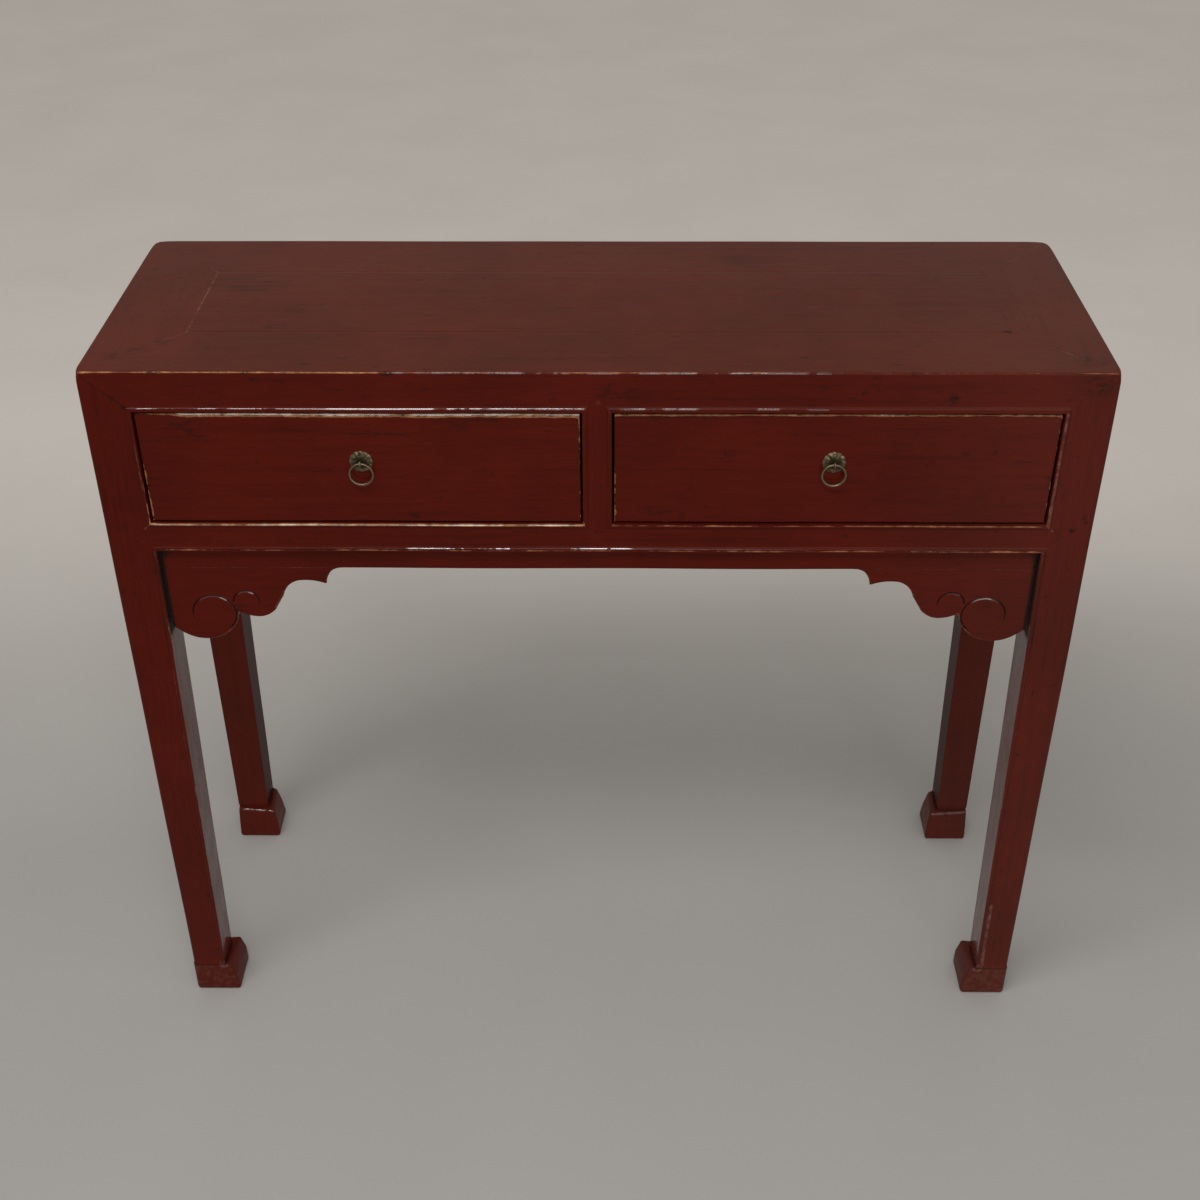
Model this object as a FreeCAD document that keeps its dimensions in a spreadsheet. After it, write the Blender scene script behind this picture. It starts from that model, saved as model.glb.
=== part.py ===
import FreeCAD, Part
import Sketcher
import os
from types import SimpleNamespace

# A lacquered console table with two drawers: mitred top frame, four tapered legs with
# hoof feet, beaded rails with pointed shoulders, a scrolled apron and brass ring pulls.
# Millimetres. X runs along the table, the front faces -Y, +Z is up and the floor is at zero.
# The origin is under the middle of the whole table, ring pulls included.

# Independent sizes: name, value, meaning
SIZES = [
    ("table_width", 1040.0, "over both end faces"),
    ("table_depth", 345.0, "front face to back face"),
    ("table_height", 882.0, "floor to tabletop"),
    ("frame_width", 93.0, "plan width of the top frame members"),
    ("frame_height", 44.5, "height of the top frame members"),
    ("leg_width", 50.0, "square leg above the taper"),
    ("ankle_width", 40.5, "square leg just above the foot"),
    ("front_corner_radius", 4.5, "rounding of the two upright front corners"),
    ("back_corner_radius", 12.0, "rounding of the two upright back corners"),
    ("top_edge_radius", 2.5, "rounding of the tabletop's outer edge"),
    ("foot_height", 44.0, "height of the hoof foot"),
    ("foot_base", 55.5, "width of the hoof foot on the floor"),
    ("foot_swell", 55.0, "inner corner of the hoof at its middle"),
    ("foot_flank", 52.0, "outer flank of the hoof at its middle"),
    ("foot_ledge", 46.0, "outer flank of the hoof at its ledge"),
    ("foot_ledge_corner", 51.0, "inner corner of the hoof at its ledge"),
    ("bead_width", 4.0, "raised bead round each opening"),
    ("bead_rise", 1.0, "how far a bead stands out of the face"),
    ("bead_seat", 2.0, "how far a bead is rooted in its member"),
    ("shoulder_depth", 8.0, "depth of a pointed shoulder"),
    ("opening_height", 131.0, "top frame to the top of the lower rails"),
    ("lower_rail_height", 34.5, "height of the lower rails"),
    ("lower_rail_depth", 30.0, "thickness of the lower rails"),
    ("rail_tenon_setback", 14.0, "outer face to rail tenon"),
    ("rail_tenon_thickness", 10.0, "thickness of the rail tenons"),
    ("rail_tenon_length", 24.0, "length of the rail tenons"),
    ("rail_tenon_margin", 4.0, "shoulder above and below a rail tenon"),
    ("tenon_end_gap", 1.0, "room at the end of a tenon"),
    ("head_tenon_start", 24.0, "corner to the near side of a leg's head tenon"),
    ("head_tenon_length", 16.0, "head tenon along its rail"),
    ("head_tenon_setback", 8.0, "outer face to head tenon"),
    ("head_tenon_thickness", 12.0, "head tenon across its rail"),
    ("head_tenon_height", 32.0, "head tenon above the frame's underside"),
    ("corner_tenon_start", 58.0, "outer face to the frame's corner tenon"),
    ("corner_tenon_width", 22.0, "width of the frame's corner tenon"),
    ("corner_tenon_reach", 30.0, "end of the corner tenon, from the outer face"),
    ("corner_tenon_bottom", 8.0, "frame underside to the corner tenon"),
    ("corner_tenon_height", 14.0, "height of the corner tenon"),
    ("panel_lip", 8.0, "tabletop to the groove of the top panel"),
    ("tongue_thickness", 8.0, "thickness of the top panel's tongue"),
    ("tongue_length", 8.0, "length of the top panel's tongue"),
    ("tongue_room", 1.0, "room beyond the top panel's tongue"),
    ("seam_gap", 0.4, "open seam round the top panel"),
    ("batten_width", 34.0, "width of a batten under the top panel"),
    ("batten_drop", 26.0, "batten below the top panel"),
    ("batten_key_height", 4.0, "dovetail key sunk in the top panel"),
    ("batten_key_top", 26.0, "width of the dovetail key at its top"),
    ("batten_key_root", 20.0, "width of the dovetail key at its root"),
    ("batten_tenon_thickness", 12.0, "height of a batten's tenon"),
    ("batten_tenon_margin", 8.0, "top panel to a batten's tenon"),
    ("batten_tenon_length", 16.0, "length of a batten's tenon"),
    ("stile_width", 30.0, "upright between the drawers"),
    ("stile_depth", 30.0, "thickness of the upright"),
    ("stile_tenon_width", 18.0, "width of the upright's tenons"),
    ("stile_tenon_thickness", 10.0, "thickness of the upright's tenons"),
    ("stile_tenon_setback", 12.0, "outer face to the upright's tenons"),
    ("stile_tenon_length", 18.0, "length of the upright's tenons"),
    ("wall_setback", 8.0, "outer face to the side and back boards"),
    ("wall_thickness", 9.0, "thickness of the side and back boards"),
    ("wall_groove", 6.0, "depth of the grooves that hold the boards"),
    ("wall_room", 0.5, "room at the edges of the boards"),
    ("apron_height", 25.0, "straight strip under a lower rail"),
    ("apron_thickness", 15.0, "thickness of the strips and brackets"),
    ("apron_setback", 6.0, "outer face to the strips"),
    ("apron_end_gap", 2.5, "open joint between a strip and a leg"),
    ("apron_tongue_height", 6.0, "strip's tongue in the rail above it"),
    ("apron_tongue_thickness", 6.0, "thickness of that tongue"),
    ("apron_tongue_setback", 4.0, "strip's face to its tongue"),
    ("spandrel_length", 192.0, "scrolled bracket along the strip"),
    ("spandrel_drop", 94.5, "scrolled bracket below the strip"),
    ("runner_thickness", 20.0, "thickness of runners and centre bearer"),
    ("runner_width", 32.0, "side runner inside the leg line"),
    ("bearer_width", 92.0, "centre bearer under both drawers"),
    ("runner_tenon_length", 6.0, "runner and bearer tenons"),
    ("runner_tenon_thickness", 10.0, "height of those tenons"),
    ("runner_tenon_inset", 4.0, "runner's edge to its tenon"),
    ("guide_height", 24.0, "height of the drawer guides"),
    ("guide_play", 0.6, "guide set back from the leg line"),
    ("stop_length", 40.2, "block between a closed drawer and the back board"),
    ("stop_height", 30.0, "height of that block"),
    ("stop_play", 0.3, "block to the back of a closed drawer"),
    ("drawer_side_gap", 2.7, "opening to a drawer's end, each side"),
    ("drawer_top_gap", 2.8, "opening to a drawer's top edge"),
    ("drawer_lift", 0.4, "runner to a drawer's lower edge"),
    ("drawer_front_lift", 1.2, "lower edge of a drawer's sides to that of its front"),
    ("drawer_recess", 1.5, "table front to a drawer's face"),
    ("drawer_edge_radius", 1.5, "rounding of a drawer front's long edges"),
    ("front_thickness", 18.0, "drawer front"),
    ("side_thickness", 11.0, "drawer side"),
    ("side_drop", 10.0, "top of a drawer's front to the top of its sides"),
    ("back_thickness", 10.0, "drawer back"),
    ("back_inset", 12.0, "ends of the sides to the drawer back"),
    ("back_drop", 6.0, "top of the sides to the top of the back"),
    ("back_housing", 4.0, "drawer back let into the sides"),
    ("bottom_thickness", 6.0, "drawer bottom"),
    ("bottom_lift", 7.0, "lower edge of the sides to the drawer bottom"),
    ("bottom_groove", 5.0, "depth of the drawer bottom's grooves"),
    ("bottom_room", 0.3, "room at the edges of the drawer bottom"),
    ("dovetail_lap", 6.0, "drawer face to the ends of the tails"),
    ("dovetail_tip", 26.0, "width of a tail at its end"),
    ("dovetail_root", 20.0, "width of a tail at its root"),
    ("plate_radius", 12.2, "scalloped backplate of a pull"),
    ("plate_rim", 0.9, "backplate at its rim"),
    ("plate_crown", 2.4, "backplate at its middle"),
    ("plate_notch", 1.4, "depth and width of the notches in its rim"),
    ("shank_radius", 1.3, "shank of the split pin"),
    ("shank_play", 0.15, "play round the shank"),
    ("eye_hole_radius", 1.8, "hole of the pin's eye"),
    ("eye_wire_radius", 1.0, "wire of the pin's eye"),
    ("eye_play", 0.2, "backplate to the pin's eye"),
    ("clench_length", 14.0, "pin ends bent over behind the front"),
    ("clench_width", 2.4, "width of the bent ends"),
    ("clench_thickness", 1.0, "thickness of the bent ends"),
    ("ring_radius", 12.1, "ring's middle circle"),
    ("ring_wire_radius", 1.4, "wire of the ring"),
    ("overrun", 3.0, "how far a cutter passes what it cuts"),
]

# Counts
NOTCH_COUNT = 14

# Where the battens cross the top panel, as shares of its length from its middle
BATTEN_PLACE_SHARES = (-0.34, 0.0, 0.34)

# Where a pull sits on its drawer's front, as a share of the front's height
PULL_HEIGHT_SHARE = 0.5711

# Where the tails of a drawer side stand, as shares of the side's height
TAIL_PLACE_SHARES = (0.27, 0.73)

# How much of its rise a backplate still has half way to its rim
DOME_SHARE = 0.75

# Outline of a bracket from the middle of the table towards the leg. Each row is a corner and
# a point half way along the arc that leaves it: share of length, share of drop.
SPANDREL_SHARES = (
    ((1.000, 0.000), (0.932, 0.066)),
    ((0.899, 0.221), (0.808, 0.179)),
    ((0.742, 0.186), (0.686, 0.252)),
    ((0.646, 0.389), (0.618, 0.488)),
    ((0.592, 0.582), (0.551, 0.655)),
    ((0.492, 0.681), (0.437, 0.660)),
    ((0.387, 0.612), (0.349, 0.800)),
    ((0.292, 0.929), (0.190, 1.000)),
    ((0.073, 0.944), (0.038, 0.895)),
    ((0.000, 0.826), None),
)


class Length:
    """A length with the sheet formula that it comes from."""

    def __init__(self, value, formula):
        self.value = value
        self.formula = formula

    def joined(self, other, sign, value, swapped=False):
        text = other.formula if isinstance(other, Length) else repr(float(other))
        left, right = (text, self.formula) if swapped else (self.formula, text)
        return Length(value, "(%s %s %s)" % (left, sign, right))

    def __add__(self, other):
        return self.joined(other, "+", self.value + number(other))

    def __radd__(self, other):
        return self.joined(other, "+", self.value + number(other), True)

    def __sub__(self, other):
        return self.joined(other, "-", self.value - number(other))

    def __rsub__(self, other):
        return self.joined(other, "-", number(other) - self.value, True)

    def __mul__(self, other):
        return self.joined(other, "*", self.value * number(other))

    def __rmul__(self, other):
        return self.joined(other, "*", self.value * number(other), True)

    def __truediv__(self, other):
        return self.joined(other, "/", self.value / number(other))

    def __neg__(self):
        return Length(-self.value, "(-1 * %s)" % self.formula)


def number(length):
    return length.value if isinstance(length, Length) else float(length)


def in_order(first, second):
    return (first, second) if number(first) < number(second) else (second, first)


doc = FreeCAD.newDocument("ConsoleTable")
sheet = doc.addObject("Spreadsheet::Sheet", "Sizes")
for row, (alias, value, meaning) in enumerate(SIZES, start=1):
    sheet.set("A%d" % row, meaning)
    sheet.set("B%d" % row, str(value))
    sheet.setAlias("B%d" % row, alias)
doc.recompute()
s = SimpleNamespace(**{alias: Length(value, "Sizes." + alias) for alias, value, _ in SIZES})

# Places that follow from the sizes
eye_radius = s.eye_hole_radius + 2 * s.eye_wire_radius
eye_reach = s.plate_crown + s.eye_play + eye_radius
pull_reach = eye_reach + eye_radius - s.drawer_recess
front_face = (pull_reach - s.table_depth) / 2
back_face = front_face + s.table_depth
half_width = s.table_width / 2
frame_bottom = s.table_height - s.frame_height
lower_rail_top = frame_bottom - s.opening_height
lower_rail_bottom = lower_rail_top - s.lower_rail_height
front_span = s.table_width - 2 * s.leg_width
side_span = s.table_depth - 2 * s.leg_width
wall_inset = s.wall_setback + s.wall_thickness
drawer_length = s.table_depth - s.drawer_recess - wall_inset - s.stop_length - s.stop_play
opening_width = (front_span - s.stile_width) / 2
drawer_width = opening_width - 2 * s.drawer_side_gap
drawer_bottom = lower_rail_top + s.drawer_lift
drawer_front_height = s.opening_height - s.drawer_lift - s.drawer_front_lift - s.drawer_top_gap
drawer_side_height = drawer_front_height + s.drawer_front_lift - s.side_drop
drawer_place = (s.stile_width + opening_width) / 2


# Sketches, pads and cuts


def bind(thing, path, length):
    if isinstance(length, Length):
        thing.setExpression(path, length.formula)


def trace(sketch, loops):
    """Draw closed loops and bind every corner. A corner is (x, y), or (x, y, via_x, via_y)
    where an arc through the via point leaves it."""
    rules, bound = [], []

    def pin_point(piece, end, x, y):
        for kind, length in (("DistanceX", x), ("DistanceY", y)):
            bound.append((len(rules), length))
            rules.append(Sketcher.Constraint(kind, -1, 1, piece, end, number(length)))

    for loop in loops:
        first = sketch.GeometryCount
        ends = []
        for place, corner in enumerate(loop):
            following = loop[(place + 1) % len(loop)]
            start = FreeCAD.Vector(number(corner[0]), number(corner[1]), 0)
            finish = FreeCAD.Vector(number(following[0]), number(following[1]), 0)
            if len(corner) == 2:
                piece = sketch.addGeometry(Part.LineSegment(start, finish), False)
            else:
                via = FreeCAD.Vector(number(corner[2]), number(corner[3]), 0)
                piece = sketch.addGeometry(Part.Arc(start, via, finish), False)
            near = (sketch.getPoint(piece, 1) - start).Length
            far = (sketch.getPoint(piece, 2) - start).Length
            ends.append((1, 2) if near < far else (2, 1))
        for place, corner in enumerate(loop):
            piece = first + place
            after = (place + 1) % len(loop)
            pin_point(piece, ends[place][0], corner[0], corner[1])
            rules.append(Sketcher.Constraint("Coincident", piece, ends[place][1],
                                             first + after, ends[after][0]))
        for place, corner in enumerate(loop):
            if len(corner) == 4:
                via = FreeCAD.Vector(number(corner[2]), number(corner[3]), 0)
                dot = sketch.addGeometry(Part.Point(via), True)
                pin_point(dot, 1, corner[2], corner[3])
                rules.append(Sketcher.Constraint("PointOnObject", dot, 1, first + place))
    sketch.addConstraint(rules)
    for place, length in bound:
        bind(sketch, "Constraints[%d]" % place, length)


def sketch_on(body, plane, offset, loops):
    """A sketch parallel to an origin plane of the body, moved along that plane's normal."""
    sketch = body.newObject("Sketcher::SketchObject", "Outline")
    support = [f for f in body.Origin.OriginFeatures if f.Role == plane + "_Plane"][0]
    sketch.AttachmentSupport = [(support, "")]
    sketch.MapMode = "FlatFace"
    sketch.AttachmentOffset = FreeCAD.Placement(FreeCAD.Vector(0, 0, number(offset)), FreeCAD.Rotation())
    bind(sketch, "AttachmentOffset.Base.z", offset)
    trace(sketch, loops)
    sketch.Visibility = False
    return sketch


def pad(body, plane, low, high, *loops):
    """Add the loops, drawn on a plane, from low to high across that plane."""
    offset = -high if plane == "XZ" else low
    sketch = sketch_on(body, plane, offset, loops)
    feature = body.newObject("PartDesign::Pad", "Pad")
    feature.Profile = sketch
    feature.Length = number(high) - number(low)
    bind(feature, "Length", high - low)
    return feature


def cut(body, plane, low, high, *loops):
    """Remove the loops, drawn on a plane, from low to high across that plane."""
    offset = -low if plane == "XZ" else high
    sketch = sketch_on(body, plane, offset, loops)
    feature = body.newObject("PartDesign::Pocket", "Cut")
    feature.Profile = sketch
    feature.Length = number(high) - number(low)
    bind(feature, "Length", high - low)
    return feature


def rectangle(x_first, x_second, y_first, y_second):
    left, right = in_order(x_first, x_second)
    low, high = in_order(y_first, y_second)
    return [(left, low), (right, low), (right, high), (left, high)]


def mirrored(loop):
    return [tuple(-c if place % 2 == 0 else c for place, c in enumerate(corner)) for corner in loop]


def swapped(loop):
    flip = {0: 1, 1: 0, 2: 3, 3: 2}
    return [tuple(corner[flip[place]] for place in range(len(corner))) for corner in loop]


nodes = []


def new_body(label):
    body = doc.addObject("PartDesign::Body", label)
    body.Label = label
    nodes.append(body)
    return body


def put(thing, x, y, z, angle=0, axis=FreeCAD.Vector(0, 0, 1)):
    spot = FreeCAD.Vector(number(x), number(y), number(z))
    thing.Placement = FreeCAD.Placement(spot, FreeCAD.Rotation(axis, angle))
    for letter, length in (("x", x), ("y", y), ("z", z)):
        bind(thing, "Placement.Base." + letter, length)
    return thing


def block(label, x_ends, y_ends, z_ends):
    """A plain board between two places on each axis."""
    box = doc.addObject("Part::Box", label)
    lows = []
    for name, ends in (("Length", x_ends), ("Width", y_ends), ("Height", z_ends)):
        low, high = in_order(*ends)
        setattr(box, name, number(high) - number(low))
        bind(box, name, high - low)
        lows.append(low)
    put(box, *lows)
    return box


def board(label, x_ends, y_ends, z_ends):
    box = block(label, x_ends, y_ends, z_ends)
    box.Label = label
    nodes.append(box)
    return box


def fused(label, pieces):
    joined = doc.addObject("Part::MultiFuse", label)
    joined.Shapes = pieces
    joined.Refine = True
    joined.Label = label
    nodes.append(joined)
    return joined


def rounding(radius, x, y, x_way, y_way):
    """What a rounded corner at (x, y) takes off a body that lies towards x_way and y_way."""
    via_share = 1 - 0.5 ** 0.5
    over = s.overrun
    loop = [(-over, -over), (radius, -over), (radius, 0, via_share * radius, via_share * radius),
            (0, radius), (-over, radius)]
    ways = (x_way, y_way, x_way, y_way)
    base = (x, y, x, y)
    return [tuple(base[place] + ways[place] * c for place, c in enumerate(corner)) for corner in loop]


# Top frame


def top_rail(label, length, x, y, angle, corner_radii, beaded, stile, tenoned, battens, walled):
    """A member of the top frame: x along it, y inwards from its outer face, z up from its underside."""
    body = new_body(label)
    half = length / 2
    wide = s.frame_width
    high = s.frame_height
    over = s.overrun
    pad(body, "XZ", 0, wide,
        [(-half, high), (s.leg_width - half, 0), (half - s.leg_width, 0), (half, high)])
    mitre = [(-half - over, -over), (wide + over - half, wide + over), (-half - over, wide + over)]
    cut(body, "XY", -over, high + over, mitre, mirrored(mitre))
    groove_top = high - s.panel_lip
    groove_bottom = groove_top - s.tongue_thickness
    cut(body, "YZ", -half - over, half + over,
        rectangle(wide - s.tongue_length - s.tongue_room, wide + over, groove_bottom, groove_top))
    cut(body, "YZ", -half - over, half + over, rounding(s.top_edge_radius, 0, high, 1, -1))
    for radius, end in zip(corner_radii, (-1, 1)):
        cut(body, "XY", -over, high + over, rounding(radius, end * half, 0, -end, 1))
    inner = half - s.leg_width
    if beaded:
        slant = s.bead_width * s.leg_width / s.frame_height
        middle = s.stile_width / 2
        if stile:
            strip = [(-inner, 0), (-middle, 0), (s.bead_width - middle, s.bead_width),
                     (-inner - slant, s.bead_width)]
            strips = [strip, mirrored(strip)]
        else:
            strips = [[(-inner, 0), (inner, 0), (inner + slant, s.bead_width),
                       (-inner - slant, s.bead_width)]]
        pad(body, "XZ", -s.bead_rise, s.bead_seat, *strips)
    if stile:
        stile_seat(body, 0, 1)
    tenon = rectangle(s.head_tenon_start - half, s.head_tenon_start + s.head_tenon_length - half,
                      s.head_tenon_setback, s.head_tenon_setback + s.head_tenon_thickness)
    cut(body, "XY", -over, s.head_tenon_height + s.tenon_end_gap, tenon, mirrored(tenon))
    tenon_top = s.corner_tenon_bottom + s.corner_tenon_height
    if tenoned:
        tongue = rectangle(s.corner_tenon_reach - half, s.corner_tenon_start + s.corner_tenon_width - half,
                           s.corner_tenon_start, s.corner_tenon_start + s.corner_tenon_width)
        pad(body, "XY", s.corner_tenon_bottom, tenon_top, tongue, mirrored(tongue))
    else:
        slot_end = s.corner_tenon_start + s.corner_tenon_width
        slot = rectangle(s.corner_tenon_start - half, slot_end - half,
                         s.corner_tenon_reach - s.tenon_end_gap, slot_end + over)
        cut(body, "XY", s.corner_tenon_bottom, tenon_top, slot, mirrored(slot))
    if battens:
        top = high - s.panel_lip - s.tongue_thickness - s.batten_tenon_margin
        deep = wide - s.batten_tenon_length - s.tenon_end_gap
        holes = [rectangle(place - s.batten_width / 2, place + s.batten_width / 2, deep, wide + over)
                 for place in batten_places]
        cut(body, "XY", top - s.batten_tenon_thickness, top, *holes)
    if walled:
        reach = inner + s.wall_groove
        cut(body, "XY", -over, s.wall_groove,
            rectangle(-reach, reach, s.wall_setback, s.wall_setback + s.wall_thickness))
    put(body, x, y, frame_bottom, angle)
    return body


def stile_seat(body, level, direction):
    """Pointed notch and mortise for the upright, above or below a level."""
    half = s.stile_width / 2
    over = s.overrun
    notch = [(-half, level), (-half, level - direction * over), (half, level - direction * over),
             (half, level), (0, level + direction * half)]
    cut(body, "XZ", -s.bead_rise - over, s.shoulder_depth, notch)
    ends = in_order(level - direction * over, level + direction * (s.stile_tenon_length + s.tenon_end_gap))
    cut(body, "XY", ends[0], ends[1],
        rectangle(-s.stile_tenon_width / 2, s.stile_tenon_width / 2,
                  s.stile_tenon_setback, s.stile_tenon_setback + s.stile_tenon_thickness))


batten_places = [share * (s.table_width - 2 * s.frame_width) for share in BATTEN_PLACE_SHARES]
mid_y = (front_face + back_face) / 2
front_radius = s.front_corner_radius
back_radius = s.back_corner_radius
top_rail("top_front_rail", s.table_width, 0, front_face, 0, (front_radius, front_radius),
         True, True, False, True, False)
top_rail("top_back_rail", s.table_width, 0, back_face, 180, (back_radius, back_radius),
         False, False, False, True, True)
top_rail("top_left_end_rail", s.table_depth, -half_width, mid_y, 270, (back_radius, front_radius),
         True, False, True, False, True)
top_rail("top_right_end_rail", s.table_depth, half_width, mid_y, 90, (front_radius, back_radius),
         True, False, True, False, True)


# Top panel and its battens

panel_half_length = half_width - s.frame_width
panel_half_depth = s.table_depth / 2 - s.frame_width
panel_bottom = s.frame_height - s.panel_lip - s.tongue_thickness
panel = new_body("top_panel")
pad(panel, "XY", panel_bottom, panel_bottom + s.tongue_thickness,
    rectangle(-panel_half_length - s.tongue_length, panel_half_length + s.tongue_length,
              -panel_half_depth - s.tongue_length, panel_half_depth + s.tongue_length))
pad(panel, "XY", panel_bottom + s.tongue_thickness, s.frame_height,
    rectangle(s.seam_gap - panel_half_length, panel_half_length - s.seam_gap,
              s.seam_gap - panel_half_depth, panel_half_depth - s.seam_gap))
key_reach = panel_half_depth + s.tongue_length + s.overrun
half_root = s.batten_key_root / 2
half_top = s.batten_key_top / 2
key_top = panel_bottom + s.batten_key_height
cut(panel, "XZ", -key_reach, key_reach,
    *[[(place - half_root, panel_bottom - s.overrun), (place + half_root, panel_bottom - s.overrun),
       (place + half_root, panel_bottom), (place + half_top, key_top),
       (place - half_top, key_top), (place - half_root, panel_bottom)] for place in batten_places])
put(panel, 0, mid_y, frame_bottom)


def batten(label, place):
    """A cross batten: x across it, y along it from its middle, z up from the panel's underside."""
    body = new_body(label)
    half = s.batten_width / 2
    pad(body, "XZ", -panel_half_depth, panel_half_depth, rectangle(-half, half, -s.batten_drop, 0))
    pad(body, "XZ", -panel_half_depth, panel_half_depth,
        [(-half_root, 0), (half_root, 0), (half_top, s.batten_key_height), (-half_top, s.batten_key_height)])
    reach = panel_half_depth + s.batten_tenon_length
    pad(body, "YZ", -half, half,
        rectangle(-reach, reach, -s.batten_tenon_margin, -s.batten_tenon_margin - s.batten_tenon_thickness))
    put(body, place, mid_y, frame_bottom + panel_bottom)
    return body


for batten_label, batten_place in zip(("left_batten", "centre_batten", "right_batten"), batten_places):
    batten(batten_label, batten_place)


# Legs


def leg(label, x, y, angle, corner_radius, styles):
    """A leg with its outer corner at zero, both faces running inwards along x and y.
    styles gives the face at zero y and the face at zero x: front, side or back."""
    body = new_body(label)
    wide = s.leg_width
    over = s.overrun
    pad(body, "XZ", 0, wide,
        [(0, s.foot_height), (s.ankle_width, s.foot_height), (wide, lower_rail_bottom),
         (wide, frame_bottom), (0, s.table_height)])
    cut(body, "YZ", -over, wide + over,
        [(s.ankle_width, s.foot_height - over), (s.ankle_width, s.foot_height), (wide, lower_rail_bottom),
         (wide + over, lower_rail_bottom), (wide + over, s.foot_height - over)],
        [(0, s.table_height), (wide, frame_bottom), (wide + over, frame_bottom),
         (wide + over, s.table_height + over), (0, s.table_height + over)])
    hoof(body)
    first = rectangle(s.head_tenon_start, s.head_tenon_start + s.head_tenon_length,
                      s.head_tenon_setback, s.head_tenon_setback + s.head_tenon_thickness)
    pad(body, "XY", frame_bottom - over, frame_bottom + s.head_tenon_height, first, swapped(first))
    cut(body, "XY", -over, s.table_height + over, rounding(corner_radius, 0, 0, 1, 1))
    for plane, style in zip(("XZ", "YZ"), styles):
        if style != "back":
            slant = s.bead_width * s.frame_height / wide
            upper = [(wide, lower_rail_top), (wide, frame_bottom),
                     (wide - s.bead_width, frame_bottom + slant),
                     (wide - s.bead_width, lower_rail_top - s.bead_width)]
            lower = [(wide, lower_rail_bottom), (wide - s.bead_width, lower_rail_bottom + s.bead_width),
                     (s.ankle_width - s.bead_width, s.foot_height), (s.ankle_width, s.foot_height)]
            pad(body, plane, -s.bead_rise, s.bead_seat, upper, lower)
            middle = lower_rail_bottom + s.lower_rail_height / 2
            cut(body, plane, -s.bead_rise - over, s.shoulder_depth,
                [(wide, lower_rail_top), (wide - s.lower_rail_height / 2, middle), (wide, lower_rail_bottom),
                 (wide + over, lower_rail_bottom), (wide + over, lower_rail_top)])
        mortise = rectangle(wide - s.rail_tenon_length - s.tenon_end_gap, wide + over,
                            s.rail_tenon_setback, s.rail_tenon_setback + s.rail_tenon_thickness)
        cut(body, "XY", lower_rail_bottom + s.rail_tenon_margin, lower_rail_top - s.rail_tenon_margin,
            mortise if plane == "XZ" else swapped(mortise))
        if style != "front":
            groove = rectangle(wide - s.wall_groove, wide + over, s.wall_setback, wall_inset)
            cut(body, "XY", lower_rail_top - s.wall_groove, frame_bottom + s.wall_groove,
                groove if plane == "XZ" else swapped(groove))
    put(body, x, y, 0, angle)
    return body


def hoof(body):
    """The foot: three four-cornered levels, drawn out towards the leg's inner corner."""
    levels = []
    for height, flank, corner in ((0, s.foot_base, s.foot_base),
                                  (s.foot_height / 2, s.foot_flank, s.foot_swell),
                                  (s.foot_height, s.foot_ledge, s.foot_ledge_corner)):
        loop = [(0, 0), (flank, 0), (corner, corner), (0, flank)]
        levels.append(sketch_on(body, "XY", height, [loop]))
    feature = body.newObject("PartDesign::AdditiveLoft", "Hoof")
    feature.Profile = levels[0]
    feature.Sections = levels[1:]
    feature.Ruled = True
    return feature


leg("front_left_leg", -half_width, front_face, 0, front_radius, ("front", "side"))
leg("front_right_leg", half_width, front_face, 90, front_radius, ("side", "front"))
leg("back_right_leg", half_width, back_face, 180, back_radius, ("back", "side"))
leg("back_left_leg", -half_width, back_face, 270, back_radius, ("side", "back"))


# Lower rails and the upright between the drawers


def lower_rail(label, span, x, y, angle, style, runner_places):
    """A rail between two legs: x along it, y inwards from its outer face, z up from its underside."""
    body = new_body(label)
    half = span / 2
    high = s.lower_rail_height
    deep = s.lower_rail_depth
    over = s.overrun
    pad(body, "XZ", 0, deep, rectangle(-half, half, 0, high))
    reach = half + s.rail_tenon_length
    pad(body, "XY", s.rail_tenon_margin, high - s.rail_tenon_margin,
        rectangle(-reach, reach, s.rail_tenon_setback, s.rail_tenon_setback + s.rail_tenon_thickness))
    if style != "back":
        point = [(half, 0), (half + high / 2, high / 2), (half, high)]
        pad(body, "XZ", 0, s.shoulder_depth, point, mirrored(point))
        bead = s.bead_width
        lower = [(-half, 0), (half, 0), (half + bead, bead), (-half - bead, bead)]
        if style == "front":
            middle = s.stile_width / 2
            upper = [(-half, high), (-half - bead, high - bead), (bead - middle, high - bead),
                     (-middle, high)]
            uppers = [upper, mirrored(upper)]
        else:
            uppers = [[(-half, high), (-half - bead, high - bead), (half + bead, high - bead), (half, high)]]
        pad(body, "XZ", -s.bead_rise, s.bead_seat, lower, *uppers)
        tongue_start = s.apron_setback + s.apron_tongue_setback
        end = half - s.apron_end_gap
        cut(body, "XY", -over, s.apron_tongue_height,
            rectangle(-end, end, tongue_start, tongue_start + s.apron_tongue_thickness))
    if style == "front":
        stile_seat(body, high, -1)
    else:
        groove_reach = half + s.wall_groove
        cut(body, "XY", high - s.wall_groove, high + over,
            rectangle(-groove_reach, groove_reach, s.wall_setback, s.wall_setback + s.wall_thickness))
    slots = [rectangle(left, right, deep - s.runner_tenon_length - s.tenon_end_gap, deep + over)
             for left, right in runner_places]
    if slots:
        tenon_top = high - (s.runner_thickness - s.runner_tenon_thickness) / 2
        cut(body, "XY", tenon_top - s.runner_tenon_thickness, tenon_top, *slots)
    put(body, x, y, lower_rail_bottom, angle)
    return body


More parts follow.
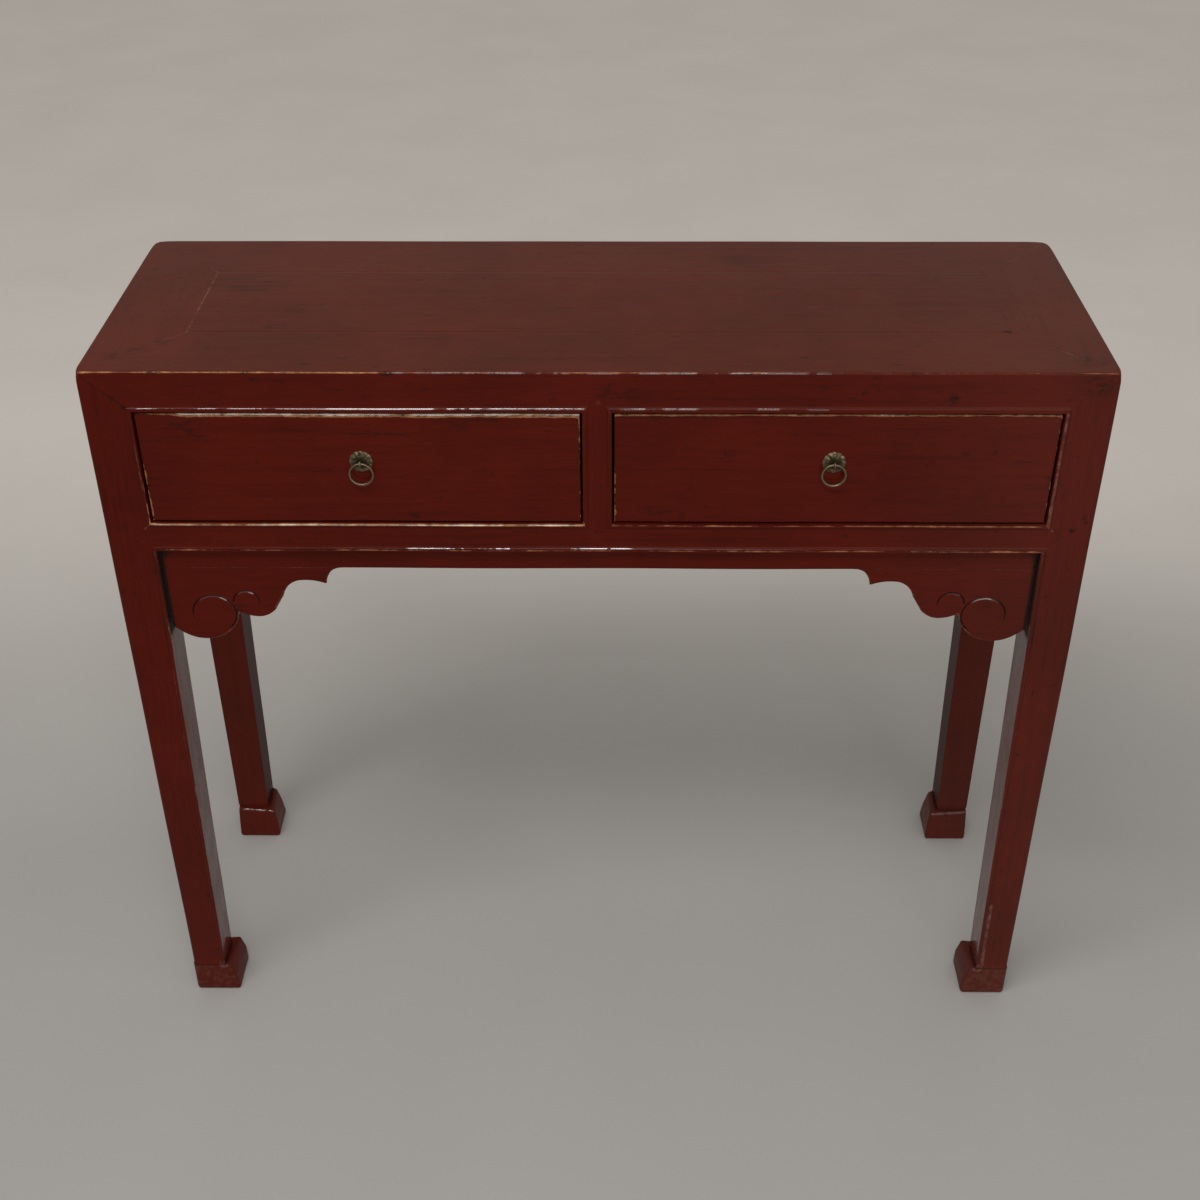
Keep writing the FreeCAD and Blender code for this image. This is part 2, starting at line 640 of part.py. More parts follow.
leg_line = half_width - s.leg_width
runner_inner = leg_line - s.runner_width
tenon_spans = [
    (-leg_line + s.runner_tenon_inset, -runner_inner - s.runner_tenon_inset),
    (s.runner_tenon_inset - s.bearer_width / 2, s.bearer_width / 2 - s.runner_tenon_inset),
    (runner_inner + s.runner_tenon_inset, leg_line - s.runner_tenon_inset),
]
lower_rail("drawer_rail", front_span, 0, front_face, 0, "front", tenon_spans)
lower_rail("back_lower_rail", front_span, 0, back_face, 180, "back", tenon_spans)
lower_rail("left_lower_rail", side_span, -half_width, mid_y, 270, "side", [])
lower_rail("right_lower_rail", side_span, half_width, mid_y, 90, "side", [])

stile = new_body("centre_stile")
stile_half = s.stile_width / 2
stile_bead_end = s.bead_width - stile_half
pad(stile, "XZ", 0, s.stile_depth, rectangle(-stile_half, stile_half, 0, s.opening_height))
pad(stile, "XZ", 0, s.shoulder_depth,
    [(-stile_half, s.opening_height), (stile_half, s.opening_height), (0, s.opening_height + stile_half)],
    [(-stile_half, 0), (0, -stile_half), (stile_half, 0)])
pad(stile, "YZ", -s.stile_tenon_width / 2, s.stile_tenon_width / 2,
    rectangle(s.stile_tenon_setback, s.stile_tenon_setback + s.stile_tenon_thickness,
              -s.stile_tenon_length, s.opening_height + s.stile_tenon_length))
stile_bead = [(-stile_half, 0), (-stile_half, s.opening_height),
              (stile_bead_end, s.opening_height + s.bead_width), (stile_bead_end, -s.bead_width)]
pad(stile, "XZ", -s.bead_rise, s.bead_seat, stile_bead, mirrored(stile_bead))
put(stile, 0, front_face, lower_rail_top)


# Boards that close the box

wall_ends_z = (lower_rail_top - s.wall_groove + s.wall_room, frame_bottom + s.wall_groove - s.wall_room)
wall_reach_y = side_span / 2 + s.wall_groove - s.wall_room
wall_reach_x = front_span / 2 + s.wall_groove - s.wall_room
wall_ends_y = (mid_y - wall_reach_y, mid_y + wall_reach_y)
wall_outside = half_width - s.wall_setback
wall_inside = half_width - wall_inset
board("left_side_panel", (-wall_outside, -wall_inside), wall_ends_y, wall_ends_z)
board("right_side_panel", (wall_inside, wall_outside), wall_ends_y, wall_ends_z)
board("back_panel", (-wall_reach_x, wall_reach_x), (back_face - wall_inset, back_face - s.wall_setback),
      wall_ends_z)


# Aprons and scrolled brackets


def apron(label, span, x, y, angle):
    """A straight strip: x along it, y inwards from the table's face, z up from the rail's underside."""
    body = new_body(label)
    end = span / 2 - s.apron_end_gap
    pad(body, "XZ", s.apron_setback, s.apron_setback + s.apron_thickness,
        rectangle(-end, end, -s.apron_height, 0))
    tongue_start = s.apron_setback + s.apron_tongue_setback
    pad(body, "XZ", tongue_start, tongue_start + s.apron_tongue_thickness,
        rectangle(-end, end, -s.apron_height, s.apron_tongue_height - s.tenon_end_gap))
    put(body, x, y, lower_rail_bottom, angle)
    return body


def spandrel(label, side):
    """A scrolled bracket under the front strip, side -1 at the left leg and 1 at the right."""
    body = new_body(label)
    start = leg_line - s.apron_end_gap
    loop = []
    for corner, via in SPANDREL_SHARES:
        place = [side * (start - corner[0] * s.spandrel_length), -corner[1] * s.spandrel_drop]
        if via:
            place += [side * (start - via[0] * s.spandrel_length), -via[1] * s.spandrel_drop]
        loop.append(tuple(place))
    loop.append((side * start, 0))
    pad(body, "XZ", s.apron_setback, s.apron_setback + s.apron_thickness, loop)
    put(body, 0, front_face, lower_rail_bottom - s.apron_height)
    return body


apron("front_apron", front_span, 0, front_face, 0)
apron("left_apron", side_span, -half_width, mid_y, 270)
apron("right_apron", side_span, half_width, mid_y, 90)
spandrel("left_spandrel", -1)
spandrel("right_spandrel", 1)


# Runners, bearer, guides and stops

rail_back = front_face + s.lower_rail_depth
back_rail_front = back_face - s.lower_rail_depth
leg_back = front_face + s.leg_width
back_leg_front = back_face - s.leg_width
tenon_z = (lower_rail_top - (s.runner_thickness + s.runner_tenon_thickness) / 2,
           lower_rail_top - (s.runner_thickness - s.runner_tenon_thickness) / 2)


def runner(label, side):
    """A side runner that reaches out to the side rail between the legs."""
    body = new_body(label)
    outer = half_width - s.lower_rail_depth
    plan = [(side * runner_inner, rail_back), (side * leg_line, rail_back), (side * leg_line, leg_back),
            (side * outer, leg_back), (side * outer, back_leg_front), (side * leg_line, back_leg_front),
            (side * leg_line, back_rail_front), (side * runner_inner, back_rail_front)]
    pad(body, "XY", lower_rail_top - s.runner_thickness, lower_rail_top, plan)
    pad(body, "XY", tenon_z[0], tenon_z[1],
        rectangle(side * (runner_inner + s.runner_tenon_inset), side * (leg_line - s.runner_tenon_inset),
                  rail_back - s.runner_tenon_length, back_rail_front + s.runner_tenon_length))
    return body


runner("left_runner", -1)
runner("right_runner", 1)
bearer_half = s.bearer_width / 2
bearer = new_body("centre_bearer")
pad(bearer, "XY", lower_rail_top - s.runner_thickness, lower_rail_top,
    rectangle(-bearer_half, bearer_half, rail_back, back_rail_front))
pad(bearer, "XY", tenon_z[0], tenon_z[1],
    rectangle(s.runner_tenon_inset - bearer_half, bearer_half - s.runner_tenon_inset,
              rail_back - s.runner_tenon_length, back_rail_front + s.runner_tenon_length))

guide_z = (lower_rail_top, lower_rail_top + s.guide_height)
guide_outer = half_width - wall_inset
guide_inner = leg_line + s.guide_play
board("left_guide", (-guide_outer, -guide_inner), (leg_back, back_leg_front), guide_z)
board("right_guide", (guide_inner, guide_outer), (leg_back, back_leg_front), guide_z)
stile_line = stile_half - s.guide_play
board("centre_guide", (-stile_line, stile_line), (front_face + s.stile_depth, back_rail_front), guide_z)

drawer_end = front_face + s.drawer_recess + drawer_length
stop_back = back_face - wall_inset
for stop_label, side in (("left_stop", -1), ("right_stop", 1)):
    stop_outer = side * (runner_inner + s.side_thickness / 2)
    board(stop_label, (stop_outer, side * (leg_line - s.guide_play)),
          (drawer_end + s.stop_play, stop_back), (lower_rail_top, lower_rail_top + s.stop_height))


# Drawers


def drawer(name, side):
    """Five boards, with x from the drawer's middle, y back from its face, z up from the sides' lower edge."""
    middle = side * drawer_place
    face_y = front_face + s.drawer_recess
    half = drawer_width / 2
    over = s.overrun
    thick = s.front_thickness
    low = s.drawer_front_lift
    high = low + drawer_front_height
    bottom_top = s.bottom_lift + s.bottom_thickness
    tails = [drawer_side_height * share for share in TAIL_PLACE_SHARES]
    tail_loops = [[(s.dovetail_lap, place - s.dovetail_tip / 2), (thick, place - s.dovetail_root / 2),
                   (thick, place + s.dovetail_root / 2), (s.dovetail_lap, place + s.dovetail_tip / 2)]
                  for place in tails]

    front = new_body(name + "_drawer_front")
    pad(front, "XZ", 0, thick, rectangle(-half, half, low, high))
    edge = s.drawer_edge_radius
    cut(front, "YZ", -half - over, half + over, rounding(edge, 0, low, 1, 1), rounding(edge, 0, high, 1, -1))
    for end in (-1, 1):
        ends = in_order(end * (half + over), end * (half - s.side_thickness))
        cut(front, "YZ", ends[0], ends[1], *tail_loops)
    reach = half - s.side_thickness + s.bottom_groove
    cut(front, "XZ", thick - s.bottom_groove, thick + over,
        rectangle(-reach, reach, s.bottom_lift, bottom_top))
    hole = s.shank_radius + s.shank_play
    pull_z = low + PULL_HEIGHT_SHARE * drawer_front_height
    cut(front, "XZ", -over, thick + over, ring_loop(hole, pull_z))
    put(front, middle, face_y, drawer_bottom)

    for end, board_name in ((side, "_drawer_outer_side"), (-side, "_drawer_inner_side")):
        plank = new_body(name + board_name)
        outer, inner = end * half, end * (half - s.side_thickness)
        span = in_order(outer, inner)
        pad(plank, "YZ", span[0], span[1], rectangle(thick, drawer_length, 0, drawer_side_height))
        pad(plank, "YZ", span[0], span[1], *tail_loops)
        groove = in_order(inner + end * s.bottom_groove, inner - end * over)
        cut(plank, "YZ", groove[0], groove[1], rectangle(0, drawer_length + over, s.bottom_lift, bottom_top))
        housing = in_order(inner + end * s.back_housing, inner - end * over)
        back_y = drawer_length - s.back_inset
        cut(plank, "YZ", housing[0], housing[1],
            rectangle(back_y - s.back_thickness, back_y, bottom_top, drawer_side_height + over))
        put(plank, middle, face_y, drawer_bottom)

    inside = half - s.side_thickness
    back_high = drawer_bottom + drawer_side_height - s.back_drop
    back_y = face_y + drawer_length - s.back_inset
    board(name + "_drawer_back",
          (middle - inside - s.back_housing, middle + inside + s.back_housing),
          (back_y - s.back_thickness, back_y), (drawer_bottom + bottom_top, back_high))
    bottom_reach = inside + s.bottom_groove - s.bottom_room
    board(name + "_drawer_bottom", (middle - bottom_reach, middle + bottom_reach),
          (face_y + thick - s.bottom_groove + s.bottom_room, face_y + drawer_length),
          (drawer_bottom + s.bottom_lift, drawer_bottom + bottom_top))
    pull(name, middle, face_y, drawer_bottom + pull_z)


def ring_loop(radius, level):
    """A circle as two half turns about the middle of the upright plane."""
    return [(-radius, level, 0, level - radius), (radius, level, 0, level + radius)]


# Ring pulls


def pull(name, x, y, z):
    plate = new_body(name + "_pull_plate")
    half_way = s.plate_rim + DOME_SHARE * (s.plate_crown - s.plate_rim)
    crown = sketch_on(plate, "YZ", 0, [[
        (0, 0), (-s.plate_crown, 0, -half_way, s.plate_radius / 2), (-s.plate_rim, s.plate_radius),
        (0, s.plate_radius)]])
    dome = plate.newObject("PartDesign::Revolution", "Dome")
    dome.Profile = crown
    dome.ReferenceAxis = (crown, ["H_Axis"])
    dome.Angle = 360.0
    cut(plate, "XZ", -s.plate_crown - s.overrun, s.overrun, ring_loop(s.shank_radius + s.shank_play, 0))
    notch = cut(plate, "XZ", -s.plate_crown - s.overrun, s.overrun,
                [(0, s.plate_radius - s.plate_notch), (s.plate_notch / 2, s.plate_radius + s.plate_notch),
                 (-s.plate_notch / 2, s.plate_radius + s.plate_notch)])
    doc.recompute()
    petals = plate.newObject("PartDesign::PolarPattern", "Petals")
    petals.Originals = [notch]
    petals.Axis = ([f for f in plate.Origin.OriginFeatures if f.Role == "Y_Axis"][0], [""])
    petals.Angle = 360.0
    petals.Occurrences = NOTCH_COUNT
    plate.Tip = petals
    put(plate, x, y, z)

    eye_y = y - eye_reach
    eye = doc.addObject("Part::Torus", name + "_eye")
    eye.Radius1 = number(s.eye_hole_radius + s.eye_wire_radius)
    eye.Radius2 = number(s.eye_wire_radius)
    bind(eye, "Radius1", s.eye_hole_radius + s.eye_wire_radius)
    bind(eye, "Radius2", s.eye_wire_radius)
    put(eye, x, eye_y, z, 90, FreeCAD.Vector(0, 1, 0))
    shank = doc.addObject("Part::Cylinder", name + "_shank")
    shank_start = eye_y + s.eye_hole_radius + s.eye_wire_radius
    shank_length = y + s.front_thickness + s.clench_thickness - shank_start
    shank.Radius = number(s.shank_radius)
    shank.Height = number(shank_length)
    bind(shank, "Radius", s.shank_radius)
    bind(shank, "Height", shank_length)
    put(shank, x, shank_start, z, -90, FreeCAD.Vector(1, 0, 0))
    behind = y + s.front_thickness
    bent = block(name + "_clench", (x - s.clench_length, x + s.clench_length),
                 (behind, behind + s.clench_thickness), (z - s.clench_width / 2, z + s.clench_width / 2))
    fused(name + "_pull_pin", [eye, shank, bent])

    ring = doc.addObject("Part::Torus", name + "_pull_ring")
    ring.Label = name + "_pull_ring"
    ring.Radius1 = number(s.ring_radius)
    ring.Radius2 = number(s.ring_wire_radius)
    bind(ring, "Radius1", s.ring_radius)
    bind(ring, "Radius2", s.ring_wire_radius)
    put(ring, x, eye_y, z - s.ring_radius, 90, FreeCAD.Vector(1, 0, 0))
    nodes.append(ring)


drawer("left", -1)
drawer("right", 1)

doc.recompute()

# Every object has to be sound before anything is written
for thing in doc.Objects:
    if "Invalid" in thing.State or "Error" in thing.State:
        raise RuntimeError("%s failed: %s" % (thing.Label, thing.State))
    if thing.TypeId == "PartDesign::Pocket":
        before = thing.BaseFeature.Shape.Volume
        if thing.Shape.Volume >= before:
            raise RuntimeError("a cut in %s removes nothing" % thing.getParentGeoFeatureGroup().Label)
for node in nodes:
    if node.Shape.isNull() or not node.Shape.isValid() or len(node.Shape.Solids) != 1:
        raise RuntimeError("%s is not one sound solid" % node.Label)

os.makedirs("parts", exist_ok=True)
for node in nodes:
    node.Shape.exportStep("parts/%s.step" % node.Label)
print("%d pieces" % len(nodes))
print("front face at y %.2f, back face at y %.2f" % (number(front_face), number(back_face)))
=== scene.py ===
import math

import bmesh
import bpy
import numpy as np
from mathutils import Matrix, Vector


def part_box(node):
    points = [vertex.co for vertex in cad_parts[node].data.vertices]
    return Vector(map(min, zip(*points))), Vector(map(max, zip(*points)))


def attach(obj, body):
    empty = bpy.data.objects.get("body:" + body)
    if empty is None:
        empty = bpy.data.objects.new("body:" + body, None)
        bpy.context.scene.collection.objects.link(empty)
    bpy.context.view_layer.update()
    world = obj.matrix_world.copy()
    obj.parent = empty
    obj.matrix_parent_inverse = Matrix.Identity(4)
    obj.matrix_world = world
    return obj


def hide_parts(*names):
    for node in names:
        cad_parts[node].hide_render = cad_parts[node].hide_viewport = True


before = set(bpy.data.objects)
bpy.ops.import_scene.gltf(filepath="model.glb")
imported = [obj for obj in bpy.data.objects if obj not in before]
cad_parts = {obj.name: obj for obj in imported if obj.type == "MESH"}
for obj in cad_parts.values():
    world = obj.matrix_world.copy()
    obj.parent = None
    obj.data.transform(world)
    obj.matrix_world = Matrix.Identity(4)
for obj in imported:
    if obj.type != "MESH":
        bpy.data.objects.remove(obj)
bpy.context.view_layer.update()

bl_info = {
    "name": "Red lacquer console table",
    "version": (1, 0, 0),
    "blender": (4, 5, 0),
    "location": "View3D > Sidebar > Console Table",
    "description": "Dresses the packed console table in worn red lacquer, bare wood and aged brass",
    "category": "Object",
}

MM = 0.001


# Settings that a user would change


def colour_setting(name, value, words):
    return bpy.props.FloatVectorProperty(
        name=name, description=words, subtype="COLOR", size=3, min=0, max=1, default=value)


def number_setting(name, value, words, **more):
    return bpy.props.FloatProperty(name=name, description=words, default=value, **more)


def length_setting(name, value, words):
    """A length, given in millimetres."""
    return number_setting(name, value * MM, words, unit="LENGTH", subtype="DISTANCE", precision=5)


def angle_setting(name, value, words):
    """An angle, given in degrees."""
    return number_setting(name, math.radians(value), words, subtype="ANGLE")


class TableFinish(bpy.types.PropertyGroup):
    lacquer: colour_setting("Lacquer", (0.094, 0.0075, 0.0029), "Oxblood lacquer on the upright faces")
    lacquer_deep: colour_setting("Deep lacquer", (0.048, 0.0045, 0.0019), "Thick or darkened lacquer")
    # Top lacquer: partly faded lacquer, partly a painted reflection of a pale wall on the up-facing faces.
    top_lacquer_and_sheen: colour_setting("Top lacquer", (0.112, 0.0182, 0.0070), "Faded browner lacquer on the top")
    top_deep: colour_setting("Deep top lacquer", (0.064, 0.0130, 0.0062), "Darker streaks in the top")
    bare: colour_setting("Rubbed wood", (0.40, 0.205, 0.095), "Wood where the lacquer is rubbed through")
    thin: colour_setting("Thin lacquer", (0.30, 0.098, 0.040), "Orange brown of lacquer worn thin")
    pale: colour_setting("Pale wood", (0.80, 0.70, 0.60), "Wood where the edges are rubbed most")
    # Undercoat: also the colour of the painted shade in recesses, gaps, carved grooves and on the back
    # legs' inner faces.
    undercoat_and_shade: colour_setting("Undercoat", (0.012, 0.007, 0.006), "Black undercoat and dirt in pits")
    dust: colour_setting("Dust", (0.30, 0.165, 0.125), "Pale dust and scuffs in joints and on the feet")
    plain_wood: colour_setting("Plain wood", (0.21, 0.125, 0.068), "Unlacquered elm inside the table")
    plain_wood_dark: colour_setting("Dark grain", (0.10, 0.054, 0.028), "Grain of the unlacquered wood")
    brass: colour_setting("Brass", (0.178, 0.134, 0.080), "Rubbed brass of the pulls")
    brass_dark: colour_setting("Patina", (0.036, 0.027, 0.0125), "Brown patina of the pulls")


class TableShape(bpy.types.PropertyGroup):
    edge: length_setting("Edge", 0.45, "Softening of every sawn edge")
    seam_edge: length_setting("Seam edge", 0.1, "Softening of joints that lie flush in a face")
    hidden_seam_edge: length_setting("Hidden seam edge", 0.01, "Softening of the panel's long joints")
    bead_edge: length_setting("Bead edge", 0.8, "Rounding of the raised beads")
    drawer_edge: length_setting("Drawer edge", 1.4, "Rounding round the drawers' faces")
    foot_edge: length_setting("Foot edge", 3.6, "Wear on the edges of the hoof feet")
    plinth: length_setting("Plinth", 1.0, "How far the feet stand out past the legs' faces")
    corner_wear: length_setting("Corner wear", 2.2, "Rounding off of the top's front corners")
    back_corner_wear: length_setting("Back corner wear", 3.2, "Rounding off of the top's back corners")
    sway: length_setting("Sway", 0.28, "How far the hand-planed faces wander from flat")
    nicks: length_setting("Nicks", 0.4, "How deep the worn edges are nicked")
    spacing: length_setting("Spacing", 11, "Distance between cross cuts that carry the wear")
    carving: length_setting("Carving", 1.5, "Depth of the carved curls")
    carving_wall: length_setting("Carving wall", 0.8, "Width of the steep wall outside a curl")
    carving_slope: length_setting("Carving slope", 3.0, "Width of the rounded bank inside a curl")
    bracket_edge: length_setting("Bracket edge", 1.9, "Rounding along the brackets' scrolled outline")
    grid: length_setting("Carving grid", 0.75, "Mesh size on the carved brackets")
    wire_share: number_setting("Split wire share", 0.64, "Wire of the pin's shank as a share of its eye's")


class TableStage(bpy.types.PropertyGroup):
    eye: bpy.props.FloatVectorProperty(
        name="Camera place", description="Where the photograph was taken from", subtype="TRANSLATION",
        unit="LENGTH", default=(0.0201, -1.6238, 1.5965))
    pitch: angle_setting("Pitch", 55.88, "Camera tilt from straight down")
    yaw: angle_setting("Yaw", 0.70, "Camera turn about the upright axis")
    roll: angle_setting("Roll", -0.215, "Camera turn about its own axis")
    focal: number_setting("Focal length", 48.71, "Lens in millimetres on a 36 mm sensor")
    floor: colour_setting("Floor", (0.45, 0.43, 0.405), "Plain pale floor round the table")
    far_floor: colour_setting("Far floor", (0.86, 0.80, 0.73), "The floor's paler tone behind the table")
    world: number_setting("World light", 0.42, "Strength of the even light")
    key: number_setting("Key light", 34.0, "Power of the long lamp above the front")
    fill: number_setting("Fill light", 26.0, "Power of the wide front lamp")


# Places worked out from the frame

BEAD_RISE = 1.0 * MM
BEAD_WIDTH = 4.0 * MM
LEG_WIDTH = 50.0 * MM
ANKLE = 40.5 * MM
FOOT_HIGH = 44.0 * MM
SOLE = 55.5 * MM
LEDGE = 46.0 * MM
LEDGE_CORNER = 51.0 * MM
HIDDEN_SPACING = 60.0 * MM
STILE_POINT = 15.0 * MM
RAIL_POINT = 17.25 * MM
PANEL_TONGUE = 8.0 * MM
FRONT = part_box("front_left_leg")[0].y + BEAD_RISE
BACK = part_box("back_left_leg")[1].y
HALF_WIDTH = -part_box("front_left_leg")[0].x - BEAD_RISE
INNER = HALF_WIDTH - LEG_WIDTH
ANKLE_X = HALF_WIDTH - ANKLE
FRAME_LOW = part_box("top_front_rail")[0].z
OPENING_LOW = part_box("drawer_rail")[1].z
RAIL_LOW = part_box("drawer_rail")[0].z
STRIP_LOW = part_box("front_apron")[0].z
STRIP_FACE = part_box("front_apron")[0].y
BRACKET_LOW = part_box("left_spandrel")[0].z
STILE_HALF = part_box("centre_stile")[1].x
panel_low, panel_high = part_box("top_panel")
TOP = panel_high.z
FRAME_WIDTH = HALF_WIDTH + panel_low.x + PANEL_TONGUE
PANEL_X = HALF_WIDTH - FRAME_WIDTH
PANEL_FRONT, PANEL_BACK = FRONT + FRAME_WIDTH, BACK - FRAME_WIDTH


# Arrays and meshes


def wander(points, seed, wavelength):
    """A smooth pattern from -1 to 1: the mean of six sine waves whose directions and phases come
    from the seed, and whose wavelengths run from 0.6 to 1.6 times the one given."""
    rng = np.random.default_rng(seed)
    turns = rng.normal(size=(6, 3))
    turns /= np.linalg.norm(turns, axis=1, keepdims=True)
    turns *= (2 * np.pi / wavelength) / rng.uniform(0.6, 1.6, size=(6, 1))
    phases = rng.uniform(0, 2 * np.pi, size=6)
    return np.sin(points @ turns.T + phases).mean(axis=1) * 1.6


def sway(points):
    """Each point moved by three such patterns, one per axis, so that neighbours stay together. The
    upward one dies away near the floor. Near the four corners of the top each point also moves
    inwards, by the square of how near it is, as if the corner were worn round."""
    shape = bpy.context.scene.table_shape
    shift = shape.sway * np.stack([wander(points, seed, 0.16) for seed in (11, 12, 13)], axis=1)
    shift[:, 2] *= np.clip(points[:, 2] / (30 * MM), 0, 1)
    for side in (-1, 1):
        for y, way, reach, amount in ((FRONT, (-side, 1.0, -0.8), 14 * MM, shape.corner_wear),
                                      (BACK, (-side, -1.0, -0.1), 24 * MM, shape.back_corner_wear)):
            gap = np.linalg.norm(points - np.array([side * HALF_WIDTH, y, TOP]), axis=1)
            near = np.clip(1 - gap / reach, 0, 1) ** 2
            shift += amount * near[:, None] * np.array(way)
    return points + shift


def line_distance(points, lines):
    """Distance to the nearest of the lines as a share of its reach, plus the line's weakness. Each
    line is (start, end, reach, weakness), and a weakness of 1 leaves almost nothing of its mark."""
    nearest = np.full(len(points), 9.0)
    for start, end, reach, weakness in lines:
        a, d = np.array(start), np.array(end) - np.array(start)
        along = np.clip((points - a) @ d / max(d @ d, 1e-12), 0, 1)
        gap = np.linalg.norm(points - (a + along[:, None] * d), axis=1)
        nearest = np.minimum(nearest, gap / (reach * MM) + weakness)
    return nearest


def vertex_array(mesh, attribute="co"):
    values = np.empty(len(mesh.vertices) * 3, np.float32)
    mesh.vertices.foreach_get(attribute, values)
    return values.reshape(-1, 3).astype(float)


def set_share(mesh, name, values):
    layer = mesh.attributes.get(name) or mesh.attributes.new(name, "FLOAT", "POINT")
    layer.data.foreach_set("value", values.astype(np.float32))


def grid_faces(rows, columns, close_rows=False, close_columns=False):
    """Quads of a rows by columns grid of points, as rows of four point numbers."""
    numbers = np.arange(rows * columns).reshape(rows, columns)
    if close_rows:
        numbers = np.vstack([numbers, numbers[:1]])
    if close_columns:
        numbers = np.hstack([numbers, numbers[:, :1]])
    quads = np.stack([numbers[:-1, :-1], numbers[1:, :-1], numbers[1:, 1:], numbers[:-1, 1:]], axis=-1)
    return quads.reshape(-1, 4)


def new_piece(node, mesh, body, material, smooth=40):
    """The object that takes a node's place, on its body and with its material."""
    mesh.shade_smooth()
    mesh.set_sharp_from_angle(angle=math.radians(smooth))
    piece = bpy.data.objects.new(node + "_finish", mesh)
    bpy.context.scene.collection.objects.link(piece)
    mesh.materials.clear()
    mesh.materials.append(material)
    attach(piece, body)
    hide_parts(node)
    return piece


def mesh_of(node, points, faces):
    """A mesh with its doubled points joined and its faces turned outwards."""
    mesh = bpy.data.meshes.new(node + "_finish")
    mesh.from_pydata(points.reshape(-1, 3).tolist(), [], faces)
    shell = bmesh.new()
    shell.from_mesh(mesh)
    bmesh.ops.remove_doubles(shell, verts=shell.verts, dist=1e-6)
    bmesh.ops.dissolve_degenerate(shell, edges=shell.edges, dist=1e-7)
    bmesh.ops.recalc_face_normals(shell, faces=shell.faces)
    shell.to_mesh(mesh)
    shell.free()
    return mesh


def round_edges(shell, edges, width, steps):
    """Bevel the edges, and note the new points so that no edge is rounded twice. A width over 3 mm
    is kept in full, and a smaller one is held back where its faces are too narrow for it."""
    done = shell.verts.layers.int.get("rounded") or shell.verts.layers.int.new("rounded")
    if edges:
        result = bmesh.ops.bevel(shell, geom=edges, offset=width, offset_type="OFFSET", segments=steps,
                                 profile=0.5, affect="EDGES", clamp_overlap=width < 3 * MM)
        for vert in result["verts"]:
            vert[done] = 1


def sharp_edges(shell, wanted, degrees=25):
    """Convex edges of at least a given bend, not yet rounded, that pass the test."""
    limit = math.radians(degrees)
    done = shell.verts.layers.int.get("rounded") or shell.verts.layers.int.new("rounded")
    return [e for e in shell.edges if e.is_manifold and e.calc_face_angle_signed(0) > limit
            and not all(v[done] for v in e.verts) and wanted(*(v.co for v in e.verts))]


def slopes(first, second):
    """Whether an edge runs slantwise: two of its three spans are alike in size."""
    spans = sorted((abs(second.x - first.x), abs(second.y - first.y), abs(second.z - first.z)))
    return spans[1] > 0.3 * spans[2]


def on_bead(a, b):
    """Long edges of the raised beads at the front and the sides."""
    out = [max(FRONT - co.y, abs(co.x) - HALF_WIDTH) for co in (a, b)]
    return min(out) > 0.6 * BEAD_RISE and not slopes(a, b)


def on_seam(a, b):
    """Joints flush in a face: all on the tabletop, and slanting ones on the front and the sides."""
    flush = 0.1 * MM
    top = all(abs(co.z - TOP) < flush for co in (a, b))
    front = all(FRONT - co.y > -flush for co in (a, b))
    side = all(abs(co.x) - HALF_WIDTH > -flush for co in (a, b))
    return top or ((front or side) and slopes(a, b))


def on_hidden_seam(a, b):
    """The tabletop's joints that run along its length."""
    return on_seam(a, b) and abs(a.z - TOP) < MM and abs(a.x - b.x) > 5 * abs(a.y - b.y)


def any_edge(a, b):
    return True


def under(height):
    """A test for edges that lie below a height."""
    return lambda a, b: max(a.z, b.z) < height + 0.5 * MM


def mitre_planes(corner, inner):
    """Planes on both sides of a mitre that runs from an outer to an inner corner."""
    corner, inner = Vector(corner), Vector(inner)
    along = (inner - corner).normalized()
    face = (0, 0, 1) if abs(along.z) < 0.1 else (0, 1, 0)
    normal = along.cross(Vector(face)).normalized()
    return [(corner + normal * (offset * MM), normal) for offset in (-3.0, -1.0, 1.0, 3.0)]


def front_mitre(side):
    """The same for the mitre between a front leg's head and the top's front rail."""
    return mitre_planes((side * HALF_WIDTH, FRONT, TOP), (side * INNER, FRONT, FRAME_LOW))


def cut_planes(low, high, spacing):
    """Planes across each long axis of a box: a few close to each end, and the rest evenly spaced."""
    planes = []
    for axis, normal in enumerate(np.eye(3)):
        size = high[axis] - low[axis]
        offsets = [d * MM for d in (1.6, 3.6, 7.5) if size > 3 * d * MM]
        places = [low[axis] + d for d in offsets] + [high[axis] - d for d in offsets]
        if size > 4 * spacing:
            count = int(size / spacing)
            places += list(np.linspace(low[axis], high[axis], count + 1)[1:-1])
        planes += [(normal * place, normal) for place in places]
    return planes


